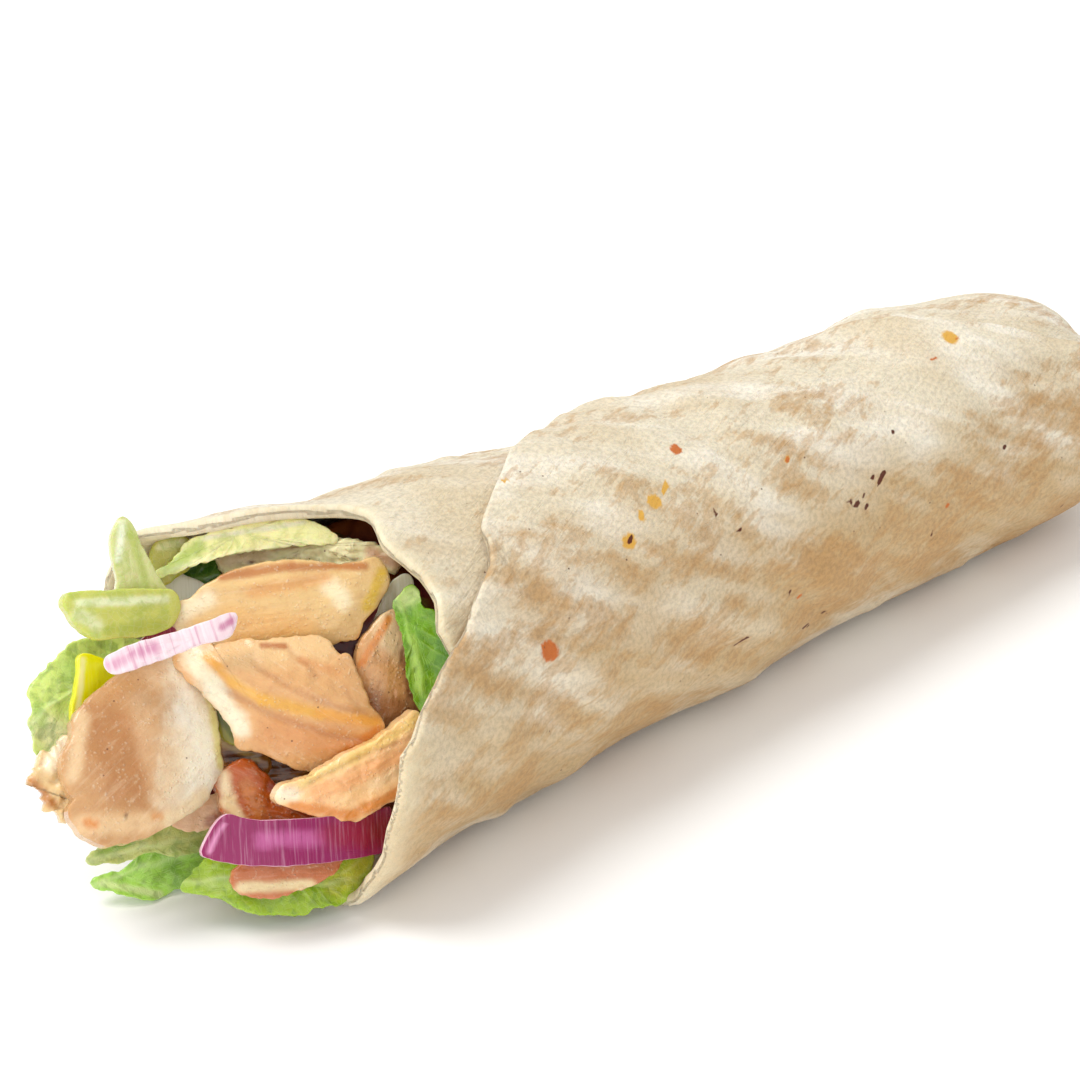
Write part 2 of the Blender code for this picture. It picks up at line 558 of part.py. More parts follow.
def main() -> None:
    clear_scene()
    collection = make_collection("gyro_wrap")
    axis = bpy.data.objects.new("roll_axis", None)
    axis.location = (-MOUTH_TO_MIDDLE * MM, 0.0, AXIS_HEIGHT * MM)
    axis.rotation_euler = (0.0, AXIS_SLOPE, 0.0)
    face = bpy.data.objects.new("mouth_face", None)
    face.rotation_euler = (math.radians(FACE_RISE), 0.0, math.radians(FACE_TURN))
    face.parent = axis
    collection.objects.link(axis)
    collection.objects.link(face)
    for item in (make_bread(), make_filling()):
        item.parent = axis
        collection.objects.link(item)
    for piece in PIECES:
        item = make_piece(piece)
        item.parent = face
        collection.objects.link(item)


main()
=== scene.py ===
"""Gyro wrap, dressed: a rolled flatbread filled with sliced chicken, lettuce, red onion and pepper."""

import logging  # noqa: E402
import math  # noqa: E402
from dataclasses import dataclass, field  # noqa: E402
from enum import Enum  # noqa: E402

import bmesh  # noqa: E402
import bpy  # noqa: E402
from mathutils import Euler, Matrix, Vector, noise  # noqa: E402


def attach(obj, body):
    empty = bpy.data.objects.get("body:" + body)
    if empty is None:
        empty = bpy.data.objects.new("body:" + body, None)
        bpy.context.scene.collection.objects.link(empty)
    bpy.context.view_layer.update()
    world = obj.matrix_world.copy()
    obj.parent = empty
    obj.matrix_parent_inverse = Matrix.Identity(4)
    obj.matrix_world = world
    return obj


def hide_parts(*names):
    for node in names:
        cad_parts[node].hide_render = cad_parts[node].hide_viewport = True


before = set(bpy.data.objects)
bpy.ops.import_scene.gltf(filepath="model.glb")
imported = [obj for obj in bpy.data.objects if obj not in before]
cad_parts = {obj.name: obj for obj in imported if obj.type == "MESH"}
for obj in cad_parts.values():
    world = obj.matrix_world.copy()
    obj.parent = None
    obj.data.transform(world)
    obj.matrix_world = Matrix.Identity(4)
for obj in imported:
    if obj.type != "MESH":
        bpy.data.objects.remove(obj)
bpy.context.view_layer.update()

MM = 0.001
log = logging.getLogger("gyro_wrap")


class Toast(Enum):
    """What heat has done to a small place on the bread."""

    AMBER = 0
    ORANGE = 1
    CHAR = 2


def linear(hex_colour: str) -> tuple[float, float, float, float]:
    """Turns an sRGB hex colour to linear.

    Args:
        hex_colour: six hex digits.

    Returns:
        Linear red, green, blue and alpha.
    """
    parts = [int(hex_colour[i:i + 2], 16) / 255 for i in (0, 2, 4)]
    red, green, blue = (p / 12.92 if p <= 0.04045 else ((p + 0.055) / 1.055) ** 2.4 for p in parts)
    return red, green, blue, 1.0


def ease(value: float, low: float, high: float) -> float:
    """Gives a smooth step.

    Args:
        value: the place.
        low: where the step starts.
        high: where it ends.

    Returns:
        0 at low, 1 at high.
    """
    t = min(1.0, max(0.0, (value - low) / (high - low)))
    return t * t * (3 - 2 * t)


def bell(distance: float, width: float) -> float:
    """Returns a smooth hump: 1 at no distance, a third at its width."""
    return math.exp(-(distance / width) ** 2)


def angle_between(winding: float, other: float) -> float:
    """Returns degrees round the roll from one winding angle to another, -180 to 180."""
    return (winding - other + 180.0) % 360.0 - 180.0


def curve_value(points: tuple, at: float) -> float:
    """Reads a smooth curve through points, level beyond its ends.

    Args:
        points: pairs of place and height, in order.
        at: the place to read.

    Returns:
        The height there.
    """
    if at <= points[0][0]:
        return points[0][1]
    for i in range(len(points) - 1):
        (x0, y0), (x1, y1) = points[i], points[i + 1]
        if at <= x1:
            before = points[max(i - 1, 0)]
            after = points[min(i + 2, len(points) - 1)]
            t = (at - x0) / (x1 - x0)
            slope0 = (y1 - before[1]) / (x1 - before[0]) * (x1 - x0)
            slope1 = (after[1] - y0) / (after[0] - x0) * (x1 - x0)
            return ((2 * t**3 - 3 * t**2 + 1) * y0 + (t**3 - 2 * t**2 + t) * slope0
                    + (3 * t**2 - 2 * t**3) * y1 + (t**3 - t**2) * slope1)
    return points[-1][1]


def turned(x: float, y: float, degrees: float) -> tuple[float, float]:
    """Turns a place anticlockwise about the origin.

    Args:
        x: how far across.
        y: how far up.
        degrees: the turn.

    Returns:
        The place after the turn.
    """
    turn = math.radians(degrees)
    return x * math.cos(turn) - y * math.sin(turn), x * math.sin(turn) + y * math.cos(turn)


def along_line(x: float, y: float, start: tuple, end: tuple) -> tuple[float, float]:
    """Measures a place from a line.

    Args:
        x: mm across.
        y: mm up.
        start: the line's first point.
        end: its last point.

    Returns:
        The share of the line's length, and mm aside of it.
    """
    run = Vector((end[0] - start[0], end[1] - start[1]))
    here = Vector((x - start[0], y - start[1]))
    if run.length < 0.01:
        return 0.5, here.length
    return here.dot(run) / run.length_squared, (here.x * run.y - here.y * run.x) / run.length


class Nodes:
    """A material's node tree, with one way to add a node."""

    def __init__(self, name: str) -> None:
        """Starts a material with its Principled shader.

        Args:
            name: the material's name.
        """
        self.material = bpy.data.materials.new(name)
        self.material.use_nodes = True
        self.tree = self.material.node_tree
        self.shader = self.tree.nodes["Principled BSDF"]

    def feed(self, socket: bpy.types.NodeSocket, value: object) -> None:
        """Links or sets an input.

        Args:
            socket: the input.
            value: a socket to link, a plain value, or an sRGB hex colour.
        """
        if isinstance(value, bpy.types.NodeSocket):
            self.tree.links.new(value, socket)
        else:
            socket.default_value = linear(value) if isinstance(value, str) else value

    def add(self, kind: str, out: int | str = 0, stops: tuple = (), **values: object) -> bpy.types.NodeSocket:
        """Adds a node with its settings and links.

        Args:
            kind: the node's type name without the ShaderNode prefix.
            out: name or number of the output to return.
            stops: a ramp's pairs of place and sRGB hex colour or grey number, eased between.
            **values: small-letter names are the node's settings, and names with a capital, or i and a
                number, are its inputs.

        Returns:
            That output.
        """
        node = self.tree.nodes.new("ShaderNode" + kind)
        for key, value in values.items():
            if key[0].isupper() or key[1:].isdigit():
                self.feed(node.inputs[key if key[0].isupper() else int(key[1:])], value)
            else:
                setattr(node, key, value)
        if stops:
            node.color_ramp.interpolation = "EASE"
            for _ in stops[2:]:
                node.color_ramp.elements.new(0.5)
            for element, (place, value) in zip(node.color_ramp.elements, stops):
                element.position = place
                element.color = linear(value) if isinstance(value, str) else (value, value, value, 1.0)
        return node.outputs[out]

    def over(self, base: object, *layers: tuple) -> bpy.types.NodeSocket:
        """Lays colours over a base, one after another.

        Args:
            base: the base colour, a socket or an sRGB hex colour.
            *layers: each one's mask, the stops or the share that the mask is read by, and its colour.

        Returns:
            The colour with all its layers.
        """
        for mask, reading, colour in layers:
            if isinstance(reading, tuple):
                mask = self.add("ValToRGB", stops=reading, Fac=mask)
            else:
                mask = self.add("Math", operation="MULTIPLY", i0=mask, i1=reading)
            base = self.add("Mix", 2, data_type="RGBA", i0=mask, i6=base, i7=colour)
        return base

    def raised(self, *steps: tuple) -> bpy.types.NodeSocket:
        """Lays one bump over another.

        Args:
            *steps: each one's height, 0 to 1, the mm that a height of 1 stands out by, and its strength.

        Returns:
            The normal.
        """
        under = {}
        for height, depth, strength in steps:
            normal = self.add("Bump", Height=height, Distance=depth * MM, Strength=strength, **under)
            under = {"Normal": normal}
        return normal

    def grain(self, flat: bpy.types.NodeSocket, turn: float, narrow: float, width: float, detail: float,
              rough: float, warp: float) -> bpy.types.NodeSocket:
        """Draws streaks of a real width.

        Args:
            flat: coordinates in millimetres.
            turn: degrees about Z that bring the streaks to X.
            narrow: their width over their length.
            width: their width in millimetres.
            detail: octaves.
            rough: strength of the finer octaves.
            warp: distortion.

        Returns:
            Its value, about 0.5 on average.
        """
        level = self.add("Mapping", Vector=flat, Rotation=(0.0, 0.0, math.radians(turn)))
        long = self.add("Mapping", Vector=level, Scale=(narrow, 1.0, 1.0))
        return self.add("TexNoise", Vector=long, Scale=1 / width, Detail=detail, Roughness=rough,
                        Distortion=warp)

    def specks(self, vector: bpy.types.NodeSocket, scale: float, rare: tuple[float, float],
               spot: tuple[float, float]) -> bpy.types.NodeSocket:
        """Scatters round specks over some of the cells of a loose grid.

        Args:
            vector: coordinates.
            scale: cells to a unit.
            rare: a cell's random number below which it has no speck, and above which it has a full one.
            spot: the share of a cell up to which a speck is solid, and where it ends.

        Returns:
            How strongly a speck shows, 0 to 1.
        """
        cells = self.add("TexVoronoi", feature="F1", Vector=vector, Scale=scale)
        number = self.add("SeparateColor", Color=cells.node.outputs["Color"])
        chosen = self.add("ValToRGB", stops=((rare[0], 0.0), (rare[1], 1.0)), Fac=number)
        speck = self.add("ValToRGB", stops=((spot[0], 1.0), (spot[1], 0.0)), Fac=cells)
        return self.add("Math", operation="MULTIPLY", i0=speck, i1=chosen)

    def finish(self, colour: bpy.types.NodeSocket, normal: bpy.types.NodeSocket | None = None,
               **sockets: object) -> bpy.types.Material:
        """Ends the material.

        Args:
            colour: base colour.
            normal: bump, if any.
            **sockets: shader input names, with _ for a space, to plain values or sockets.

        Returns:
            The material.
        """
        self.tree.links.new(colour, self.shader.inputs["Base Color"])
        if normal is not None:
            self.tree.links.new(normal, self.shader.inputs["Normal"])
        for key, value in sockets.items():
            self.feed(self.shader.inputs[key.replace("_", " ")], value)
        return self.material


@dataclass(frozen=True)
class Mark:
    """A small toasted place: its winding angle and distance along the bread, size in mm, and turn."""

    kind: Toast
    winding: float
    along: float
    long: float
    wide: float
    turn: float = 0.0


@dataclass(frozen=True)
class Crease:
    """A line pressed into the bread, from one winding angle and distance along to another."""

    start: tuple[float, float]
    end: tuple[float, float]
    depth: float
    width: float


@dataclass(frozen=True)
class Flatbread:
    """Soft wheat flatbread, griddled: matt, floury, with tan toasted streaks, a few burnt blisters, and
    painted shade low on its near side.
    """

    cream: str = "E6DAC0"
    white: str = "F4ECDA"
    shade: str = "DAC7A4"
    tan: str = "BE925A"
    # Warm tan ground, strongest low on the near side, where it is painted shade
    warm: str = "C6A87A"
    amber: str = "D9A646"
    orange: str = "C26A2C"
    char: str = "582408"
    speck: str = "6B4A34"
    fold: str = "F3E8C6"
    streak_turn: float = 28.0

    def material(self) -> bpy.types.Material:
        """Builds the bread's material on its flat coordinates, in millimetres.

        Returns:
            The material.
        """
        n = Nodes("griddled_flatbread")
        flat = n.add("Attribute", "Vector", attribute_name="flat")
        marks = n.add("Attribute", "Color", attribute_name="marks")
        marks = n.add("SeparateColor", Color=marks).node.outputs
        # Toasting, with painted shade low on the near side and painted light on the top side
        toast = n.add("Attribute", "Vector", attribute_name="toast")
        toast = n.add("SeparateXYZ", Vector=toast).node.outputs
        patch = n.grain(flat, self.streak_turn, 0.42, 17.0, 4.0, 0.62, 0.6)
        fine = n.grain(flat, self.streak_turn - 50, 0.35, 2.6, 4.0, 0.7, 0.4)
        white = n.grain(flat, self.streak_turn + 8, 0.30, 13.0, 3.0, 0.5, 0.5)
        shade = n.add("TexNoise", Vector=flat, Scale=1 / 30, Detail=2.0, Roughness=0.5)
        tan = n.add("Math", operation="SUBTRACT", i0=fine, i1=0.5)
        tan = n.add("Math", operation="MULTIPLY_ADD", i0=tan, i1=0.85, i2=patch)
        tan = n.add("Math", operation="MULTIPLY_ADD", i0=toast[0], i1=0.30, i2=tan)
        base = n.over(self.cream, (white, ((0.42, 0.0), (0.62, 1.0)), self.white),
                      (shade, ((0.45, 0.0), (0.7, 0.7)), self.shade), (toast[1], 1.0, self.warm),
                      (tan, ((0.49, 0.0), (0.58, 0.38), (0.74, 0.76)), self.tan))
        # Baked flour mottle, a millimetre wide
        mottle = n.add("TexNoise", Vector=flat, Scale=1 / 1.1, Detail=3.0, Roughness=0.7)
        mottle = n.add("ValToRGB", stops=((0.35, 0.80), (0.62, 1.0)), Fac=mottle)
        base = n.add("Mix", 2, data_type="RGBA", blend_type="MULTIPLY", i0=1.0, i6=base, i7=mottle)
        base = n.over(base, (n.add("Attribute", "Fac", attribute_name="rim"), 0.55, self.fold))
        ragged = n.add("TexNoise", Vector=flat, Scale=1 / 0.9, Detail=3.0, Roughness=0.7)
        ragged = n.add("Math", operation="SUBTRACT", i0=ragged, i1=0.5)
        ragged = n.add("Math", operation="MULTIPLY", i0=ragged, i1=0.9)
        for mark, colour, low, high in (
            (marks[0], self.amber, 0.35, 0.62),
            (marks[1], self.orange, 0.38, 0.60),
            (marks[2], self.char, 0.40, 0.55),
        ):
            reach = n.add("Math", operation="MULTIPLY_ADD", i0=ragged, i1=mark, i2=mark)
            base = n.over(base, (reach, ((low, 0.0), (high, 1.0)), colour))
        # Bran specks, half a millimetre wide, in cells of 4 mm
        base = n.over(base, (n.specks(flat, 0.24, (0.45, 0.5), (0.035, 0.06)), 1.0, self.speck))
        skin = n.add("TexNoise", Vector=flat, Scale=1 / 0.7, Detail=4.0, Roughness=0.7)
        fibre = n.grain(flat, self.streak_turn - 50, 0.22, 2.2, 4.0, 0.65, 0.8)
        normal = n.raised((skin, 0.26, 0.7), (fibre, 0.75, 0.7))
        return n.finish(base, normal, Roughness=0.72, Specular_IOR_Level=0.35,
                        Subsurface_Weight=0.25, Subsurface_Radius=(1.0, 0.7, 0.45), Subsurface_Scale=0.0015,
                        Sheen_Weight=0.05)


@dataclass
class Roll:
    """The bread's winding, as the solid has it: all sizes in millimetres and degrees."""

    thickness: float = 2.2
    pitch: float = 2.8
    core_radius: float = 29.3
    taper: float = 0.02
    mouth_to_middle: float = 118.0
    flat_sink: float = 1.7
    start: float = -120.0
    end_start: float = 208.0
    end_reach: float = 34.0
    end_path: float = 46.0
    end_hole: float = 1.6
    rim_start: float = 4.0
    rim: tuple = ((-120, 30), (-59, 23), (-39, 25), (-17, 23), (-1, 27), (12, 22), (28, 3), (40, -7),
                  (90, -8), (140, -5), (180, -1), (221, 1), (257, 1), (277, 4))
    loose_edge: tuple = ((4, 278), (16, 294), (27, 306), (34, 316), (39, 323), (42, 334), (49, 344),
                         (57, 354), (65, 363), (77, 372), (90, 380), (110, 388), (130, 391), (150, 386),
                         (165, 371), (178, 352), (188, 344), (200, 333), (216, 316), (235, 302), (262, 292))
    bumps: tuple = ((33, 12, 1.4, 38, 10), (33, 48, 1.7, 38, 13), (33, 128, -1.8, 48, 32),
                    (33, 179, 3.6, 42, 18), (213, 6, 2.6, 42, 24), (213, 46, 1.8, 38, 16),
                    (213, 200, 0.6, 40, 20))
    waves: tuple = ((0.35, 2, 0.045, 0.0), (0.30, 3, -0.070, 1.3), (0.25, 5, 0.110, 0.4))
    pleats: int = 6
    pleat_depth: float = 0.6
    back_slope: float = 2.0
    back_angle: float = 30.0
    inner_flare: float = 1.4
    outer_flare: float = 2.6
    corner_rise: float = 6.5
    edge_rise: float = 1.6
    relief_radius: float = 33.0
    streak_turn: float = 28.0
    marks: tuple = (
        *(Mark(Toast.AMBER, *spot) for spot in (
            (347, 54, 1.8, 1.5), (323, 85, 2.2, 1.2, 60), (322, 83, 1.8, 1.4, 20), (319, 79, 4.0, 3.4, 20),
            (316, 74, 3.0, 1.8, 60), (310, 69, 3.6, 3.2), (337, 179, 4.6, 3.8, 120), (316, 116, 2.0, 1.6),
            (90, 110, 4.0, 3.2, 50), (75, 190, 3.6, 2.8), (48, 130, 3.0, 2.4, 70))),
        *(Mark(Toast.ORANGE, *spot) for spot in (
            (335, 93, 3.4, 2.6, 100), (288, 42, 4.8, 3.8, 40), (331, 170, 1.9, 1.5), (316, 116, 1.1, 0.9),
            (310, 69, 1.9, 1.6), (335.5, 180.5, 1.4, 1.2), (264, 112, 1.4, 1.1), (273, 159, 1.3, 1.0),
            (60, 60, 3.6, 2.8, 30), (110, 150, 3.0, 2.4), (150, 30, 2.6, 2.2))),
        *(Mark(Toast.CHAR, *spot) for spot in (
            (310, 69.3, 0.9, 0.7), (308, 92, 1.2, 0.7, 60), (299, 96, 1.1, 0.8), (257, 93, 1.7, 1.2, 30),
            (258.5, 95.5, 1.6, 1.1, 30), (291, 129, 4.6, 1.5, 22), (297, 137, 1.8, 1.1, 40),
            (294, 139, 1.3, 1.1), (296.5, 140.5, 0.9, 0.8), (291, 137, 1.0, 0.8), (288, 133, 1.0, 0.8),
            (293, 132.5, 1.0, 0.8), (264, 154, 2.0, 1.4, 30), (310, 147, 1.6, 0.9, 80),
            (244, 118, 4.4, 1.1, 25), (247, 123, 2.4, 0.9, 25), (267, 109, 0.9, 1.6), (286, 180, 0.9, 0.8),
            (242, 206, 0.9, 0.7), (130, 80, 2.6, 1.2, 40), (100, 178, 1.6, 1.0), (125, 84, 1.2, 0.9))),
    )
    creases: tuple = (
        Crease((320, 20), (322, 40), 0.7, 1.4), Crease((308, 30), (300, 62), 0.45, 1.6),
        Crease((300, 24), (285, 60), 0.40, 1.5), Crease((288, 12), (272, 48), 0.35, 1.6),
        Crease((262, 60), (254, 100), 0.55, 1.8), Crease((250, 100), (240, 128), 0.6, 1.5),
        Crease((330, 96), (322, 128), -0.45, 3.0), Crease((318, 128), (300, 172), -0.5, 3.4),
        Crease((300, 88), (280, 140), 0.45, 3.0), Crease((345, 120), (336, 160), 0.4, 3.0),
        Crease((285, 150), (268, 205), 0.5, 2.6), Crease((258, 140), (246, 190), -0.45, 2.4),
        Crease((312, 190), (300, 225), 0.5, 2.2), Crease((60, 20), (48, 90), 0.45, 2.6),
        Crease((90, 60), (70, 140), -0.5, 3.0), Crease((120, 30), (104, 120), 0.5, 2.6),
        Crease((80, 150), (60, 215), 0.5, 2.6), Crease((140, 120), (128, 200), -0.45, 2.6),
    )

    @property
    def length(self) -> float:
        """Distance along the bread's profile to the tucked end."""
        return self.end_start + self.end_path

    @property
    def slope(self) -> float:
        """Angle in radians that the axis dips by, so that the tapered roll lies flat."""
        return math.atan(self.taper)

    @property
    def axis_height(self) -> float:
        """Height of the axis over the floor at the mouth."""
        return (self.core_radius + self.pitch * (180.0 - self.start) / 360.0 + self.thickness / 2
                - self.flat_sink)

    @property
    def axis(self) -> Matrix:
        """Place of the roll's own frame, in metres."""
        place = Matrix.Translation((-self.mouth_to_middle * MM, 0.0, self.axis_height * MM))
        return place @ Matrix.Rotation(self.slope, 4, "Y")

    @property
    def face(self) -> Matrix:
        """Place of the mouth's face: X across, Y up and Z out of the mouth."""
        return self.axis @ Euler((math.radians(61.12), 0.0, math.radians(-36.28))).to_matrix().to_4x4()

    def meridian(self, along: float) -> tuple[float, float, float, float]:
        """Reads the innermost winding's profile.

        Args:
            along: distance along it.

        Returns:
            x, radius, and the outward direction's x and radius.
        """
        if along <= self.end_start:
            return along, self.core_radius - self.taper * along, 0.0, 1.0
        start_radius = self.core_radius - self.taper * self.end_start
        drop = start_radius - self.end_hole
        angle = min(1.0, (along - self.end_start) / self.end_path) * math.pi / 2
        out = Vector((drop * math.sin(angle), self.end_reach * math.cos(angle))).normalized()
        x = self.end_start + self.end_reach * math.sin(angle)
        return x, start_radius - drop * (1 - math.cos(angle)), out.x, out.y

    def shape(self, winding: float, along: float) -> float:
        """Reads how the roll departs from its plain tapered form.

        Args:
            winding: degrees wound.
            along: distance along the profile.

        Returns:
            How far it stands out there, in millimetres.
        """
        turn = math.radians(winding)
        rise = sum(height * math.cos(lobes * turn + advance * along + phase)
                   for height, lobes, advance, phase in self.waves)
        for angle, place, height, spread, length in self.bumps:
            rise += height * bell(angle_between(winding, angle), spread) * bell(along - place, length)
        rise *= ease(self.length - along, 4, 30)
        gathers = self.pleat_depth * math.cos(self.pleats * turn) * ease(along, 205, 225)
        back = self.back_slope * ease(along, 198, 230) * bell(angle_between(winding, self.back_angle), 55)
        from_edge = curve_value(self.loose_edge, along) - winding
        edge = self.edge_rise * bell(from_edge, 30) * bell(along - 74, 20)
        near_mouth = 1 - ease(along, -8, 48)
        flare = near_mouth * (self.inner_flare + self.outer_flare * ease(winding, 215, 262))
        corner = self.corner_rise * bell(winding - 40, 22) * math.exp(-(max(along, -8) + 8) / 30)
        return rise + (gathers - back) * ease(self.length - along, 3, 22) + edge + flare + corner

    def point(self, winding: float, along: float, lift: float = 0.0) -> Vector:
        """Places a point of the bread.

        Args:
            winding: degrees wound.
            along: distance along the profile.
            lift: height over the bread's middle surface.

        Returns:
            The point in the roll's own frame, in millimetres.
        """
        x, radius, out_x, out_radius = self.meridian(along)
        offset = self.pitch * (winding - self.start) / 360 + self.shape(winding, along) + lift
        radius += offset * out_radius
        turn = math.radians(winding)
        point = Vector((x + offset * out_x, radius * math.sin(turn), radius * math.cos(turn)))
        if 140 < winding < 220:
            floor = (self.thickness / 2 + lift - self.axis_height + math.sin(self.slope) * point.x)
            point.z = max(point.z, floor / math.cos(self.slope))
        return point

    def relief(self, winding: float, along: float) -> float:
        """Reads the creases, ridges and blisters of the griddled bread.

        Args:
            winding: degrees wound.
            along: distance along the profile.

        Returns:
            Their height there, in millimetres.
        """
        turn = math.radians(winding)
        arc = turn * self.relief_radius
        run, side = turned(along, arc, self.streak_turn)
        ridges = noise.noise(Vector((run / 26, side / 7.0, 3.1)))
        folds = abs(noise.noise(Vector((run / 34, side / 10.0, 8.7))))
        blisters = max(0.0, noise.noise(Vector((along / 6.5, arc / 6.5, 5.5))) - 0.18)
        small = noise.noise(Vector((along / 3.2, arc / 3.2, 1.5)))
        height = 0.85 * ridges - 0.95 * folds + 0.70 * blisters + 0.18 * small
        broad = Vector((along / 12 + 0.9 * math.cos(turn), 1.1 * math.cos(turn), 1.1 * math.sin(turn)))
        height += 1.1 * noise.noise(broad) * ease(along, 14, 40)
        for crease in self.creases:
            (w0, a0), (w1, a1) = crease.start, crease.end
            line = Vector((a1 - a0, math.radians(w1 - w0) * self.relief_radius))
            here = Vector((along - a0, math.radians(winding - w0) * self.relief_radius))
            share = here.dot(line) / line.length_squared
            if -0.3 < share < 1.3:
                wander = 1.2 * noise.noise(Vector((along / 9, arc / 9, 2.2)))
                aside = (here.x * line.y - here.y * line.x) / line.length + wander
                fade = ease(share, -0.25, 0.2) * ease(1.0 - share, -0.25, 0.2)
                height -= crease.depth * bell(aside, crease.width) * fade
        gathers = noise.noise(Vector((math.cos(turn) * 4.2, math.sin(turn) * 4.2, along / 40)))
        return height + ease(along, 212, 238) * 0.9 * gathers


@dataclass
class Tortilla:
    """The bread itself, wound on its roll, with a rounded and slightly uneven rim."""

    roll: Roll = field(default_factory=Roll)
    finish: Flatbread = field(default_factory=Flatbread)
    rounding: tuple = (0.0, 0.10, 0.32, 0.70, 1.20, 1.90)
    pivot: float = 250.0
    inner_end: float = 27.0
    inner_step: float = 3.2
    outer_step: float = 1.75
    shared_columns: int = 58
    near_length: float = 66.0
    near_step: float = 1.08
    far_step: float = 1.52
    flat_radius: float = 34.0
    least_mark: tuple[float, float] = (1.7, 1.3)
    rim_swell: float = 0.15
    rim_fade: float = 120.0
    inner_pattern: float = 60.0

    def windings(self, along: float) -> list[float]:
        """Lays out the columns: fixed ones, then some that follow the loose edge.

        Args:
            along: distance along the profile.

        Returns:
            Their winding angles there.
        """
        per_degree = math.radians(1.0) * self.flat_radius
        found = [self.roll.start + r / per_degree for r in self.rounding]
        while found[-1] < self.inner_end:
            found.append(found[-1] + self.inner_step)
        while found[-1] < self.pivot - 1.8:
            found.append(found[-1] + self.outer_step)
        last = found[-1]
        edge = curve_value(self.roll.loose_edge, along)
        margin = edge - self.rounding[-1] / per_degree
        count = self.shared_columns
        found += [last + (margin - last) * (i + 1) / count for i in range(count)]
        return found + [edge - r / per_degree for r in reversed(self.rounding[:-1])]

    def rows(self) -> list[float]:
        """Lays out the rows, closest at the mouth.

        Returns:
            Their distances along the profile.
        """
        found = [self.roll.rim_start + r for r in self.rounding]
        while found[-1] < self.near_length:
            found.append(found[-1] + self.near_step)
        start = found[-1]
        steps = math.ceil((self.roll.length - start) / self.far_step)
        return found + [start + (self.roll.length - start) * (i + 1) / steps for i in range(steps)]

    def marks_at(self, winding: float, along: float) -> tuple[float, float, float]:
        """Reads the toasted marks.

        Args:
            winding: degrees wound.
            along: distance along the profile.

        Returns:
            How strongly amber, orange and char show there.
        """
        found = [0.0, 0.0, 0.0]
        for mark in self.roll.marks:
            if abs(mark.along - along) >= 6 or abs(mark.winding - winding) >= 12:
                continue
            run, side = turned(along - mark.along, math.radians(winding - mark.winding) * self.flat_radius,
                               mark.turn)
            long, wide = max(mark.long, self.least_mark[0]), max(mark.wide, self.least_mark[1])
            far = math.hypot(2 * run / long, 2 * side / wide)
            if far < 2.2:
                found[mark.kind.value] = max(found[mark.kind.value], bell(far, 1.15))
        return found[0], found[1], found[2]

    def toasted_at(self, winding: float, along: float) -> tuple[float, float, float]:
        """Reads how toasted the bread is, with painted shade low on its near side and painted light on its
        top.

        Args:
            winding: degrees wound.
            along: distance along the profile.

        Returns:
            How much more tan its streaks are there and how warm its ground is, both raised by painted shade
            on the low near side and lowered by painted light on top, and 0.
        """
        run, side = turned(along, math.radians(winding) * self.roll.relief_radius, self.roll.streak_turn)
        wide = noise.noise(Vector((run / 34, side / 12, 2.7)))
        fine = noise.noise(Vector((run / 13, side / 3.4, 6.1)))
        # Painted shade on the low near side and painted light on the top side, laid into the colour
        low_side = bell(angle_between(winding, 250), 52)
        high_side = bell(angle_between(winding, 345), 42)
        warm = 0.10 + 0.85 * low_side - 0.15 * high_side + 0.50 * wide + 0.40 * fine
        tan = 0.5 * wide + 0.45 * fine + 0.25 * low_side - 0.22 * high_side
        return tan, min(0.95, max(0.0, warm)), 0.0

    def moved(self, winding: float, along: float) -> float:
        """Shifts a row near the mouth to the bread's own rim, which waves a little.

        Args:
            winding: degrees wound.
            along: the row's distance along the profile.

        Returns:
            Its distance along the profile after that.
        """
        shift = curve_value(self.roll.rim, winding) - self.roll.rim_start
        fade = max(0.0, 1 - (along - self.roll.rim_start) / self.rim_fade) ** 2
        wave = noise.noise(Vector((math.radians(winding) * 3.4, 0.5, 4.0)))
        wave += 0.6 * noise.noise(Vector((math.radians(winding) * 9.0, 1.5, 4.0)))
        wave *= bell(along - 4, 10)
        return along + shift * fade + wave

    def lift(self, winding: float, along: float, place: float, relief: float, border: int,
             side: float) -> float:
        """Reads how high a face of the bread stands.

        Args:
            winding: degrees wound.
            along: the row's distance along the profile.
            place: the same after its shift to the rim.
            relief: the height of its creases and blisters.
            border: steps to the nearest border of the sheet.
            side: 1 for the outer face, -1 for the inner one.

        Returns:
            The height over the bread's middle surface, in millimetres.
        """
        half = self.roll.thickness / 2
        inside = min(self.rounding[min(border, len(self.rounding) - 1)] / half, 1.0)
        rounded = math.sqrt(max(0.0, 1 - (1 - inside) ** 2))
        if 140 < winding < 220:
            return side * half * rounded
        swell = self.rim_swell * bell(along - self.roll.rim_start - 2.2, 2.4) if winding < 286 else 0.0
        calm = relief * (1.0 if winding > 25 else 0.35)
        return side * (half + swell) * rounded + calm * ease(place, -14, 10)

